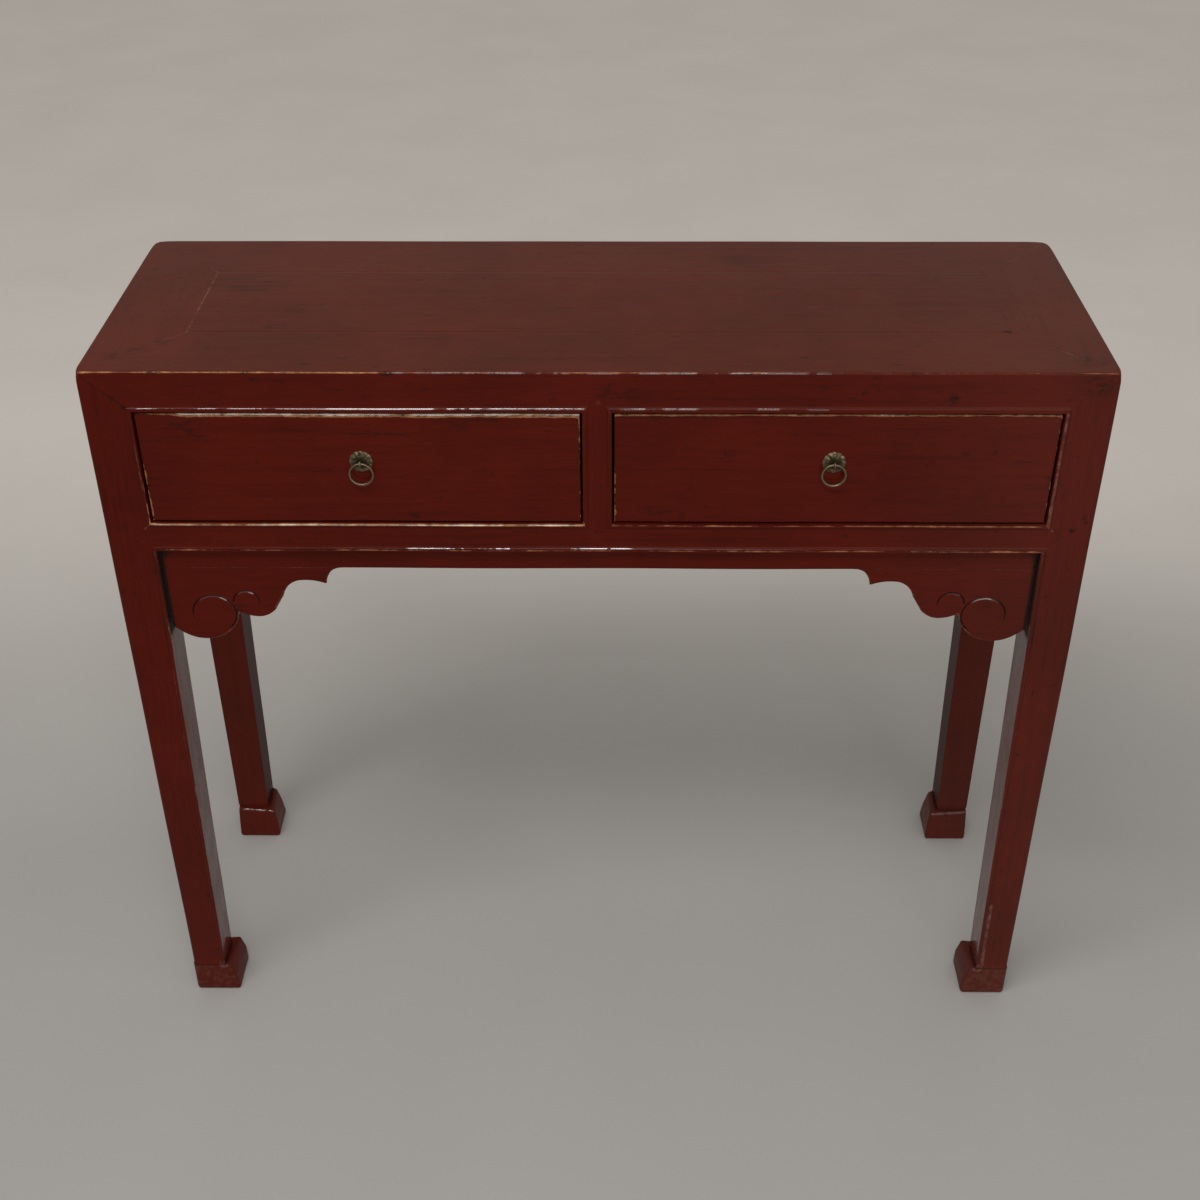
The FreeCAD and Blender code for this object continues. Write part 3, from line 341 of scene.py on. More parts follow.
def soften(node, body, material, marks=None, rounds=(), planes=(), spacing=None, reshape=None,
           shine_and_shade=None):
    """A copy of a node's solid with rounded edges, cut across so that its faces can carry a slight
    sway and its edges nicks. Its point attributes say how near the worn and dirty lines and the lines of
    painted shade are."""
    shape = bpy.context.scene.table_shape
    shell = bmesh.new()
    shell.from_mesh(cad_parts[node].data)
    bmesh.ops.remove_doubles(shell, verts=shell.verts, dist=2e-6)
    bmesh.ops.dissolve_limit(shell, angle_limit=math.radians(0.4), verts=shell.verts, edges=shell.edges)
    feet = [e for e in shell.edges if under(FOOT_HIGH)(*(v.co for v in e.verts))]
    bmesh.ops.dissolve_limit(shell, angle_limit=math.radians(3.5), verts=[], edges=feet)
    usual = ((on_hidden_seam, shape.hidden_seam_edge, 1), (on_seam, shape.seam_edge, 1),
             (on_bead, shape.bead_edge, 3), (any_edge, shape.edge, 2))
    for test, width, steps in tuple(rounds) + usual:
        round_edges(shell, sharp_edges(shell, test), width, steps)
    for point, normal in cut_planes(*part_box(node), spacing or shape.spacing) + list(planes):
        everything = shell.verts[:] + shell.edges[:] + shell.faces[:]
        bmesh.ops.bisect_plane(shell, geom=everything, dist=1e-6, plane_co=point, plane_no=normal)
    mesh = bpy.data.meshes.new(node + "_finish")
    shell.to_mesh(mesh)
    shell.free()
    points, normals = vertex_array(mesh), vertex_array(mesh, "normal")
    shares = {name: line_distance(points, (marks or {}).get(name, ()))
              for name in ("wear", "grime_and_shade", "dust", "gloss")}
    if shine_and_shade:
        shares["polish_and_shade"] = shine_and_shade(points, normals)
    for name, values in shares.items():
        set_share(mesh, name, values)
    nick = np.clip(wander(points, 21, 0.022) - 0.15, 0, 1) * np.clip(1.3 - shares["wear"], 0, 1)
    shifted = reshape(points, normals) if reshape else points
    shifted = sway(shifted) - normals * (shape.nicks * nick)[:, None]
    mesh.vertices.foreach_set("co", shifted.astype(np.float32).ravel())
    mesh.update()
    return new_piece(node, mesh, body, material)


# Materials


class Maker:
    """A new material's nodes, made one by one, with a grain that runs along one axis."""

    def __init__(self, name, axis="X"):
        self.material = bpy.data.materials.new(name)
        self.material.use_nodes = True
        self.axis = axis
        self.tree = self.material.node_tree
        self.tree.nodes.clear()
        source = self.add("ShaderNodeTexCoord")
        self.place, self.facing = source.outputs["Object"], source.outputs["Normal"]

    def add(self, kind, inputs=None, **settings):
        node = self.tree.nodes.new(kind)
        for key, value in settings.items():
            setattr(node, key, value)
        for key, value in (inputs or {}).items():
            socket = node.inputs[key]
            if isinstance(value, bpy.types.NodeSocket):
                self.tree.links.new(value, socket)
            else:
                socket.default_value = (*value, 1.0) if socket.type == "RGBA" else value
        return node

    def maths(self, operation, total, *values):
        for value in values:
            total = self.add("ShaderNodeMath", {0: total, 1: value}, operation=operation).outputs[0]
        return total

    def plus(self, *values):
        return self.maths("ADD", *values)

    def less(self, *values):
        return self.maths("SUBTRACT", *values)

    def times(self, *values):
        return self.maths("MULTIPLY", *values)

    def most(self, *values):
        return self.maths("MAXIMUM", *values)

    def step(self, value, low, high, start=0.0, end=1.0):
        """A smooth step from start to end as the value goes from low to high."""
        inputs = {"Value": value, "From Min": low, "From Max": high, "To Min": start, "To Max": end}
        return self.add("ShaderNodeMapRange", inputs, interpolation_type="SMOOTHSTEP").outputs["Result"]

    def mix(self, share, first, second):
        return self.add("ShaderNodeMix", {0: share, 6: first, 7: second}, data_type="RGBA").outputs[2]

    def split(self, vector):
        """The vector's three parts."""
        return self.add("ShaderNodeSeparateXYZ", {0: vector}).outputs

    def noise(self, scale, detail=3.0, rough=0.5, stretch=(1, 1, 1), shift=(0, 0, 0)):
        vector = self.place
        if any(shift) or stretch != (1, 1, 1):
            inputs = {"Vector": vector, "Scale": stretch, "Location": shift}
            vector = self.add("ShaderNodeMapping", inputs).outputs[0]
        inputs = {"Vector": vector, "Scale": scale, "Detail": detail, "Roughness": rough}
        return self.add("ShaderNodeTexNoise", inputs).outputs["Fac"]

    def grain(self, along, across, detail, rough=0.6, shift=(0, 0, 0)):
        """Noise stretched along the grain."""
        stretch = tuple(along if letter == self.axis else across for letter in "XYZ")
        return self.noise(1.0, detail, rough, stretch, shift)

    def share(self, name):
        return self.add("ShaderNodeAttribute", attribute_name=name).outputs["Fac"]

    def bump(self, height, distance, strength, below=None):
        inputs = {"Height": height, "Distance": distance, "Strength": strength}
        if below:
            inputs["Normal"] = below
        return self.add("ShaderNodeBump", inputs).outputs["Normal"]

    def finish(self, **inputs):
        shader = self.add("ShaderNodeBsdfPrincipled", {k.replace("_", " "): v for k, v in inputs.items()})
        self.add("ShaderNodeOutputMaterial", {"Surface": shader.outputs[0]})
        return self.material


def soft_spots(m, places):
    """The highest of a soft spot round each place: 1 near its middle, 0 at its radius. A spot may be
    stretched along X by a factor of its own."""
    total = 0.0
    for place, radius, stretch in places:
        away = m.add("ShaderNodeVectorMath", {0: m.place, 1: place}, operation="SUBTRACT").outputs[0]
        inputs = {0: away, 1: (1 / stretch, 1, 1)}
        away = m.add("ShaderNodeVectorMath", inputs, operation="MULTIPLY").outputs[0]
        gap = m.add("ShaderNodeVectorMath", {0: away}, operation="LENGTH").outputs["Value"]
        total = m.most(total, m.step(gap, radius, 0.3 * radius))
    return total


def veil(m):
    """How much pale haze lies over the lacquer: a little more towards the right end, the back and
    the floor, and in uneven patches on the faces of the two front feet."""
    x, y, z = m.split(m.place)
    haze = m.plus(m.step(x, 0.2, 0.55, 0.0, 0.045), m.step(y, 0.0, 0.1, 0.0, 0.015))
    haze = m.plus(haze, m.step(z, 0.65, 0.1, 0.0, 0.018))
    front = m.times(m.step(z, FOOT_HIGH, FOOT_HIGH - 2 * MM), m.step(y, 0.05, 0.0))
    front = m.times(front, m.step(m.split(m.facing)["Y"], -0.3, -0.8, 0.25, 1.0))
    uneven = m.step(m.noise(150.0, 4.0, 0.65, shift=(2, 2, 6)), 0.42, 0.64, 0.02, 0.11)
    return m.plus(haze, m.times(front, uneven))


def lacquer(axis, on_top=False):
    """Red lacquer over wood whose grain runs along an axis. Slow noise gives the mottling, noise
    stretched along the grain the streaks, thresholds of finer noise the dots and pits. The wear and
    dust attributes and the one for grime and shade, broken up by noise, give the rubbed edges, pale
    lines, dark joints and dirt, and painted shade in recesses, gaps and carved grooves; the gloss
    attribute says where the lacquer still has its hard shine. Polish does so for a whole face, and
    below nothing it paints shade on it. On the tabletop a browner tone takes over where the surface
    faces up: partly faded lacquer, partly a painted reflection of a pale wall."""
    name = "lacquer_%s_%s" % ("top" if on_top else "face", axis.lower())
    made = bpy.data.materials.get(name)
    if made:
        return made
    tones = bpy.context.scene.table_finish
    m = Maker(name, axis)
    mottle = m.step(m.noise(6.0, 4.0, 0.55), 0.36, 0.68)
    streak = m.step(m.grain(5.0, 150.0, 5.0, 0.62), 0.44, 0.76)
    grain = m.step(m.grain(45.0, 700.0, 3.0, 0.6, (6, 2, 3)), 0.3, 0.7)
    shade = m.plus(m.times(mottle, 0.38), m.times(streak, 0.38), m.times(grain, 0.33))
    colour = m.mix(shade, tones.lacquer, tones.lacquer_deep)
    # Up-facing faces take the browner top tones: partly faded lacquer, partly a painted reflection.
    if on_top:
        up = m.step(m.split(m.facing)["Z"], 0.35, 0.8)
        colour = m.mix(up, colour, m.mix(shade, tones.top_lacquer_and_sheen, tones.top_deep))
    fine = m.step(m.grain(12.0, 330.0, 5.0, 0.68, (3, 1, 5)), 0.45, 0.6)
    scarred = m.times(m.step(m.noise(3.2, shift=(4, 7, 1)), 0.56, 0.74), 0.35)
    scar = m.times(m.most(scarred, soft_spots(m, STREAKED_PLACES)), fine)
    colour = m.mix(m.times(scar, 0.6), colour, tones.undercoat_and_shade)
    colour = m.mix(veil(m), colour, tones.dust)
    dashes = m.grain(42.0, 170.0, 3.0, 0.6, (8, 4, 1))
    dashes = m.step(dashes, *((0.61, 0.75) if on_top else (0.66, 0.78)))
    dots = m.times(m.most(m.step(m.noise(74.0, 3.0, 0.62), 0.65, 0.76), dashes), 0.5)
    pits = m.step(m.noise(210.0, 2.0), 0.745, 0.79)
    blotch = m.step(m.noise(230.0, 4.0, 0.68, shift=(9, 2, 4)), 0.4, 0.58)
    specks = m.step(m.grain(70.0, 260.0, 4.0, 0.7, (5, 9, 2)), 0.46, 0.6)
    smudge = m.times(soft_spots(m, SMUDGED_PLACES), m.times(specks, 0.6))
    stain = m.most(m.times(soft_spots(m, STAINED_PLACES), blotch), smudge)
    dark = m.most(dots, m.times(pits, 0.7), m.times(stain, 0.85))
    ragged = m.noise(85.0, 5.0, 0.66)
    long_ragged = m.grain(22.0, 90.0, 4.0, 0.6, (2, 5, 8))
    breaks = m.plus(m.times(ragged, 1.4), m.times(long_ragged, 2.2))
    dust_limit = m.less(m.times(breaks, 0.55), m.share("dust"))
    scuffs = m.step(m.noise(130.0, 5.0, 0.7, shift=(1, 8, 3)), 0.4, 0.64, 0.08, 0.42)
    dust = m.times(m.step(dust_limit, 0.2, 0.9), scuffs)
    colour = m.mix(dust, colour, tones.dust)
    wear = m.less(breaks, m.share("wear"))
    rim = m.step(wear, 0.78, 1.05)
    core = m.step(wear, 0.98, 1.3)
    colour = m.mix(m.times(rim, 0.6), colour, tones.undercoat_and_shade)
    tan = m.mix(m.step(m.noise(120.0), 0.34, 0.66), tones.bare, tones.plain_wood_dark)
    tan = m.mix(m.step(wear, 1.2, 1.75), tones.thin, tan)
    tan = m.mix(m.step(wear, 2.0, 2.5), tan, tones.pale)
    colour = m.mix(core, colour, tan)
    # Painted shade: below nothing the share darkens the back legs' inner faces toward the undercoat.
    painted_back_shade = m.step(m.share("polish_and_shade"), 0.0, -1.0, 0.0, 0.55)
    colour = m.mix(m.most(dark, painted_back_shade), colour, tones.undercoat_and_shade)
    # Dark joints and dirt, with painted shade in recesses, gaps and carved grooves, darkened toward the
    # undercoat.
    grime_and_shade = m.step(m.plus(m.share("grime_and_shade"), m.times(ragged, -0.5)), 0.05, 0.7, 0.85, 0.0)
    colour = m.mix(grime_and_shade, colour, tones.undercoat_and_shade)
    dull = m.most(m.times(core, 0.8), dark, dust, grime_and_shade, painted_back_shade)
    satin = m.step(m.noise(30.0), 0.3, 0.7, *((0.36, 0.41) if on_top else (0.24, 0.29)))
    swell = m.bump(m.noise(60.0, 2.0, 0.4), 0.6 * MM, 0.4)
    lines = m.bump(m.less(1.0, m.times(streak, 0.5)), 0.2 * MM, 0.4, swell)
    holes = m.bump(m.less(1.0, m.plus(pits, core)), 0.3 * MM, 0.7, lines)
    patches = m.step(m.noise(24.0, 4.0, 0.7, shift=(0.4, 0, 0)), 0.43, 0.52)
    shiny = m.times(m.step(m.share("gloss"), 1.15, 0.75), patches)
    even = m.times(m.share("polish_and_shade"), m.step(long_ragged, 0.3, 0.7, 0.42, 0.66))
    coat = m.times(m.less(1.0, dull), m.most(shiny, even, 0.02))
    return m.finish(Base_Color=colour, Roughness=m.most(satin, m.times(dull, 0.7)), Normal=holes,
                    Specular_IOR_Level=0.06, Coat_Weight=coat, Coat_IOR=1.85, Coat_Roughness=0.07,
                    Coat_Normal=swell)


def plain_wood(axis):
    """Unlacquered wood: bands from noise stretched along the grain, and fine dark pores."""
    name = "plain_wood_" + axis.lower()
    made = bpy.data.materials.get(name)
    if made:
        return made
    tones = bpy.context.scene.table_finish
    m = Maker(name, axis)
    bands = m.step(m.grain(1.6, 55.0, 6.0, 0.62), 0.38, 0.6)
    lines = m.step(m.grain(3.0, 260.0, 4.0, 0.6, (5, 5, 2)), 0.46, 0.58)
    pores = m.step(m.grain(14.0, 500.0, 5.0, 0.7, (1, 2, 3)), 0.55, 0.66)
    stain = m.step(m.noise(9.0), 0.5, 0.75)
    colour = m.mix(m.times(bands, 0.65), tones.plain_wood, tones.plain_wood_dark)
    colour = m.mix(m.times(lines, 0.4), colour, tones.plain_wood_dark)
    colour = m.mix(m.times(pores, 0.55), colour, tones.undercoat_and_shade)
    colour = m.mix(m.times(stain, 0.4), colour, tones.plain_wood_dark)
    ridges = m.bump(m.less(1.0, pores), 0.5 * MM, 0.6)
    return m.finish(Base_Color=colour, Roughness=m.step(bands, 0.0, 1.0, 0.62, 0.78), Normal=ridges)


def brass():
    """Old brass: patina where noise is high, bright where the wear attribute says it is rubbed."""
    made = bpy.data.materials.get("old_brass")
    if made:
        return made
    tones = bpy.context.scene.table_finish
    m = Maker("old_brass")
    cloud = m.step(m.noise(260.0, 4.0, 0.6), 0.38, 0.62)
    rubbed = m.step(m.plus(m.share("wear"), m.times(cloud, 0.6)), 0.5, 1.3, 1.0, 0.0)
    grains = m.bump(m.noise(1400.0, 3.0, 0.6), 0.12 * MM, 0.7)
    return m.finish(Base_Color=m.mix(rubbed, tones.brass_dark, tones.brass), Metallic=0.85,
                    Roughness=m.step(rubbed, 0.0, 1.0, 0.6, 0.32), Normal=grains)


# Marks: each line is (start, end, reach in millimetres, weakness)


def chain_lines(corners, reach, weakness):
    return [(a, b, reach, weakness) for a, b in zip(corners, corners[1:])]


def both_sides(lines):
    flipped = [((-a[0], *a[1:]), (-b[0], *b[1:]), reach, weakness) for a, b, reach, weakness in lines]
    return lines + flipped


def moved(point, x=0, y=0, z=0):
    """The point moved by so many millimetres."""
    return point[0] + x * MM, point[1] + y * MM, point[2] + z * MM


def worn_edges():
    """Where hands and cloths have rubbed the lacquer off: the top's rim and the threads."""
    inset, step = 0.6 * MM, 0.5 * MM
    x, front, back, z = HALF_WIDTH - inset, FRONT + inset, BACK - inset, TOP - inset
    rim = [(at, front, z) for at in (-x, -0.4 * HALF_WIDTH, 0.48 * HALF_WIDTH, x)]
    lines = list(zip(rim, rim[1:], (1.1, 1.0, 0.8), (-0.08, 0.3, 0.5)))
    y, side, middle = FRONT - 0.8 * BEAD_RISE, INNER + step, STILE_HALF - step
    up, rail_up, rail_down = FRAME_LOW + step, OPENING_LOW - 1.2 * MM, RAIL_LOW + 2.2 * MM
    lines += [((-x, back, z), (x, back, z), 0.8, 0.45),
              ((middle, y, rail_up), (side, y, rail_up), 1.1, 0.0),
              ((-side, y, rail_up), (-middle, y, rail_up), 0.8, -1.15)]
    lines += both_sides([((-x, front, z), (-x, back, z), 0.8, 0.35),
                         ((-side, y, up), (-middle, y, up), 0.6, 0.65),
                         ((-side, y, OPENING_LOW), (-side, y, FRAME_LOW), 0.8, 0.25),
                         ((-middle, y, OPENING_LOW), (-middle, y, FRAME_LOW), 0.8, 0.3),
                         ((0, y, rail_down), (-side, y, rail_down), 1.4, 0.15),
                         ((-side, y, RAIL_LOW), (-ANKLE_X - step, y, FOOT_HIGH), 0.8, 0.3)])
    for face in (FRONT, BACK):
        lines += both_sides([((-HALF_WIDTH, face, TOP), (-HALF_WIDTH, face, FOOT_HIGH), 2.2, 0.95)])
    return lines


def foot_lines(reach, weakness):
    """Round each sole and along the rim of each foot's ledge."""
    lines, x = [], -HALF_WIDTH
    for y, way in ((FRONT, 1), (BACK, -1)):
        far = y + way * SOLE
        sole = [(x, y, 0), (x + SOLE, y, 0), (x + SOLE, far, 0), (x, far, 0), (x, y, 0)]
        ledge = [(x + LEDGE, y, FOOT_HIGH), (x + LEDGE_CORNER, y + way * LEDGE_CORNER, FOOT_HIGH),
                 (x, y + way * LEDGE, FOOT_HIGH)]
        lines += chain_lines(sole, reach, weakness) + chain_lines(ledge, 0.4 * reach, weakness)
    return both_sides(lines)


def seams():
    """Joints that lie flush in the top and in the front. Each line lies just below the surface, so
    that only the sides of the joint darken, but for the open mitre and the panel's joint at the left."""
    z, y, hair = TOP - 0.1 * MM, FRONT + 0.1 * MM, 0.12
    corner = (-PANEL_X, PANEL_FRONT, TOP)
    shoulder = (-INNER - RAIL_POINT, y, (OPENING_LOW + RAIL_LOW) / 2)
    lines = [(corner, moved(corner, 110), 0.4, 0.3),
             ((-PANEL_X, PANEL_FRONT, z), (-PANEL_X, PANEL_BACK, z), 0.1, 0.2),
             ((-HALF_WIDTH, FRONT, TOP), (-INNER, FRONT, FRAME_LOW), 0.8, 0.0),
             ((HALF_WIDTH, y, TOP), (INNER, y, FRAME_LOW), hair, 0.0)]
    return lines + both_sides([
        ((-HALF_WIDTH, FRONT, z), (-PANEL_X, PANEL_FRONT, z), hair, 0.0),
        ((-HALF_WIDTH, BACK, z), (-PANEL_X, PANEL_BACK, z), hair, 0.0),
        ((-INNER, y, OPENING_LOW), shoulder, hair, 0.0),
        ((-INNER, y, RAIL_LOW), shoulder, hair, 0.0),
        ((-STILE_HALF, y, FRAME_LOW), (0, y, FRAME_LOW + STILE_POINT), hair, 0.0),
        ((-STILE_HALF, y, OPENING_LOW), (0, y, OPENING_LOW - STILE_POINT), hair, 0.0)])


def crevice_shade_lines():
    """Painted shade where a face stands back behind its neighbour, beside the beads, in the gaps
    between the brackets and the legs, on the feet's ledges and on the strip under the drawer rail."""
    y, shaded = FRONT, RAIL_LOW - 4.5 * MM
    bead, below = INNER + BEAD_WIDTH, OPENING_LOW - BEAD_WIDTH
    lines = [((-bead, y, OPENING_LOW), (-bead, y, FRAME_LOW), 0.7, 0.2),
             ((-bead, y, RAIL_LOW), (-ANKLE_X - BEAD_WIDTH, y, FOOT_HIGH), 1.0, 0.1),
             ((0, y, below), (-bead, y, below), 0.6, 0.3)]
    for depth, reach in ((7 * MM, 7), (19 * MM, 9)):
        end = (-INNER - 1.7 * MM, y + depth, BRACKET_LOW + 10 * MM)
        lines.append(((-INNER, y + depth, RAIL_LOW), end, reach, -0.15))
    for face, way in ((FRONT, 1), (BACK, -1)):
        outer, ankle = (-HALF_WIDTH, face, FOOT_HIGH), (-ANKLE_X, face, FOOT_HIGH)
        lines += [(outer, (-HALF_WIDTH + LEDGE, face, FOOT_HIGH), 0.9, 0.2),
                  (ankle, (-ANKLE_X, face + way * ANKLE, FOOT_HIGH), 5.0, 0.3)]
    return both_sides(lines) + [((-INNER, STRIP_FACE, shaded), (INNER, STRIP_FACE, shaded), 3.4, -0.2)]


def dusty_lines():
    """Pale lines: some seams of the top, the threads beside the drawers, the strips and the feet."""
    left_front, right_front = (-PANEL_X, PANEL_FRONT, TOP), (PANEL_X, PANEL_FRONT, TOP)
    left_back, right_back = (-PANEL_X, PANEL_BACK, TOP), (PANEL_X, PANEL_BACK, TOP)
    lines = [(left_front, left_back, 0.9, -0.6),
             (left_back, moved(left_back, -16, 16), 0.8, -0.1),
             (left_front, moved(left_front, -28, -28), 0.7, 0.1),
             (moved(right_front, 30, -30), moved(right_front, 58, -58), 0.8, 0.0),
             (moved(right_back, 55, 55), (HALF_WIDTH, BACK, TOP), 0.7, 0.1)]
    y, bead = FRONT - BEAD_RISE, INNER + BEAD_WIDTH / 2
    outer, ankle = (-HALF_WIDTH, y, FOOT_HIGH), (-ANKLE_X, y, FOOT_HIGH)
    flare, right_flare = moved(ankle, -7), (ANKLE_X + 7 * MM, y, FOOT_HIGH)
    landing = (-ANKLE_X - BEAD_WIDTH / 2, y, FOOT_HIGH)
    jamb, stile = (-INNER, y, OPENING_LOW), (-STILE_HALF, y, OPENING_LOW)
    lines += both_sides([((-bead, y, RAIL_LOW), flare, 1.4, 0.3),
                         (moved(flare, 2, 0, 110), moved(flare, 0, 0, 5), 2.0, 0.05),
                         (landing, landing, 4.0, -0.9),
                         (moved(outer, 5, 0, -2), moved(ankle, 0, 0, -2), 1.0, -0.1),
                         (moved(outer, 8, 0, -7), moved(ankle, 0, 0, -7), 1.0, 0.0),
                         (jamb, (-INNER - 9 * MM, FRONT, OPENING_LOW - 9 * MM), 2.2, 0.1),
                         (stile, moved(stile, -3), 2.4, 0.0)])
    lines += [(moved(right_flare, -2, 0, 110), moved(right_flare, 0, 0, 5), 2.4, -0.55),
              ((bead, y, OPENING_LOW), (bead, y, FRAME_LOW), 2.0, -0.2),
              ((-bead, y, OPENING_LOW + 35 * MM), (-bead, y, FRAME_LOW - 35 * MM), 1.8, 0.2),
              ((-INNER, STRIP_FACE, STRIP_LOW), (INNER, STRIP_FACE, STRIP_LOW), 0.8, 0.2)]
    return lines + foot_lines(9, 0.4)


def glossy_lines():
    """The upper roundings of the raised threads and the top's front rim, where the lacquer still has
    a hard shine, in stretches given as shares of half the table's width."""
    y, rim = FRONT - 0.6 * BEAD_RISE, BEAD_WIDTH - 0.4 * MM
    frame_bead, lower_bead, rail_bead = FRAME_LOW + rim, RAIL_LOW + rim, OPENING_LOW - 0.4 * MM
    stretches = ((frame_bead, -0.51, 0.45, 0.0), (frame_bead, -0.9, -0.51, 0.4),
                 (lower_bead, -0.38, -0.17, 0.0), (lower_bead, -0.06, 0.07, 0.0),
                 (lower_bead, 0.07, 0.75, 0.6), (lower_bead, -0.85, -0.38, 0.65),
                 (rail_bead, -0.85, -0.05, -0.3), (rail_bead, 0.05, 0.8, 0.5))
    lines = [((start * HALF_WIDTH, y, z), (end * HALF_WIDTH, y, z), 1.2, weakness)
             for z, start, end, weakness in stretches]
    flare = (ANKLE_X + 6 * MM, FRONT, FOOT_HIGH)
    lines += [((-0.4 * HALF_WIDTH, FRONT, TOP), (0.45 * HALF_WIDTH, FRONT, TOP), 1.6, -0.2),
              (moved(flare, -2, 0, 110), moved(flare, 0, 0, 6), 2.4, 0.2)]
    corner = (-HALF_WIDTH + LEDGE_CORNER, BACK - LEDGE_CORNER, FOOT_HIGH)
    return lines + both_sides([((-HALF_WIDTH, BACK - LEDGE, FOOT_HIGH), corner, 2.4, 0.1)])


def table_marks():
    # The seams give dark joints; the crevice lines give painted shade.
    return {"wear": worn_edges() + foot_lines(3.5, 0.75), "grime_and_shade": seams() + crevice_shade_lines(),
            "dust": dusty_lines(), "gloss": glossy_lines()}


def drawer_marks(low, high, rubbed, paleness):
    """Marks round a drawer's face: the top edge is rubbed most, the sides in dots. The lower the
    paleness value, the paler the rubbed wood. A wide rubbed edge starts in from the corner."""
    inset = 0.5 * MM
    y, left, right = low.y + inset, low.x + inset, high.x - inset
    bottom, top = low.z + inset, high.z - inset
    start = left + (42 * MM if rubbed > 2 else 0)
    wear = [((left, y, top), (start, y, top), rubbed, 0.45),
            ((start, y, top), (right, y, top), rubbed, paleness),
            ((left, y, bottom), (left, y, (bottom + top) / 2), 1.7, 0.15),
            ((left, y, bottom), (left, y, top), 1.3, 0.45),
            ((right, y, bottom), (right, y, top), 1.2, 0.2),
            ((left, y, bottom), (right, y, bottom), 1.2, 0.5),
            ((left, high.y, top), (right, high.y, top), 2, 0.4)]
    return {"wear": wear, "grime_and_shade": [((left, y, bottom), (right, y, bottom), 0.9, 0.25)]}


# Places, found on the photograph, where the lacquer is stained


def spots(front, top):
    """Soft spots from millimetres: across, height, radius and stretch on the front face, and across,
    back, radius and stretch on the tabletop."""
    return ([((x * MM, FRONT, z * MM), radius * MM, stretch) for x, z, radius, stretch in front]
            + [((x * MM, y * MM, TOP), radius * MM, stretch) for x, y, radius, stretch in top])


STAINED_PLACES = spots(
    ((355, 853, 8, 1.3), (267, 860, 5, 1), (-340, 874, 4, 2), (-487, 852, 4, 1), (-477, 843, 5, 1),
     (-209, 881, 5, 2.4), (-351, 881, 3.5, 3), (150, 881, 3, 2.5), (-116, 771, 5, 0.6),
     (-225, 812, 3, 26), (-442, 881, 3, 3), (-108, 765, 4, 0.6), (498, 700, 5, 1), (405, 792, 4, 1),
     (88, 716, 5, 1), (130, 792, 5, 0.7), (-190, 716, 5, 2), (-345, 829, 3, 1.5)),
    ((424, -73, 7, 1),))
SMUDGED_PLACES = spots(
    ((-505, 832, 12, 1), (20, 858, 14, 2.2), (-415, 815, 22, 1.6), (-225, 813, 2.6, 32),
     (-140, 823, 12, 1.5), (496, 868, 16, 1.8), (470, 760, 12, 1), (-495, 700, 12, 1),
     (60, 722, 8, 3), (130, 790, 16, 1), (-470, 640, 16, 1), (-486, 66, 9, 1), (-310, 610, 20, 2),
     (-395, 590, 18, 1.2), (420, 600, 12, 1.5)),
    ((-488, -134, 13, 1.3), (-468, -120, 13, 1.4), (-447, -100, 10, 1.4), (-336, -62, 12, 1.5),
     (-330, -18, 10, 3), (495, -142, 18, 1.2)))
STREAKED_PLACES = spots((), ((-385, 50, 36, 1.7), (-180, -90, 22, 2), (170, 118, 20, 2.5)))


# Carved brackets: places as shares of the bracket's length and drop, turns in degrees

OUTLINE_ARCS = (
    ((1.000, 0.000), (0.932, 0.066)), ((0.899, 0.221), (0.808, 0.179)), ((0.742, 0.186), (0.686, 0.252)),
    ((0.646, 0.389), (0.618, 0.488)), ((0.592, 0.582), (0.551, 0.655)), ((0.492, 0.681), (0.437, 0.660)),
    ((0.387, 0.612), (0.349, 0.800)), ((0.292, 0.929), (0.190, 1.000)), ((0.073, 0.944), (0.038, 0.895)),
    ((0.000, 0.826), None))
BIG_CURL = ((0.246, 0.640, 0.1266), (1, -45, 172, 22, 40))
SMALL_CURL = ((0.438, 0.470, 0.076), (-1, 0, 172, 8, 36))
LOBES_SHARE = 0.33
CUSP_SHARE = 0.387


def arc_points(start, via, end, spacing):
    """Points along the circle through three points, from the first to the last. The centre solves
    that it is as far from each, and the angles are walked evenly the way that passes the second."""
    start, via, end = (np.array(p, float) for p in (start, via, end))
    matrix = 2 * np.array([via - start, end - start])
    centre = np.linalg.solve(matrix, np.array([via @ via - start @ start, end @ end - start @ start]))
    radius = np.linalg.norm(start - centre)
    angles = np.unwrap([math.atan2(*(p - centre)[::-1]) for p in (start, via, end)])
    count = max(int(abs(angles[2] - angles[0]) * radius / spacing), 2)
    walk = np.linspace(angles[0], angles[2], count, endpoint=False)
    return centre + radius * np.stack([np.cos(walk), np.sin(walk)], axis=1)


def bracket_outline(length, drop, spacing):
    """The scrolled lower edge as arcs, each from one point through another to the next one's start."""
    size = np.array([length, drop])
    rows = [arc_points(np.array(a) * size, np.array(via) * size, np.array(b[0]) * size, spacing)
            for (a, via), b in zip(OUTLINE_ARCS, OUTLINE_ARCS[1:])]
    outline = np.vstack(rows + [np.array([OUTLINE_ARCS[-1][0]]) * size])
    outline[:, 1] = np.maximum(outline[:, 1], 0.3 * MM)
    return outline


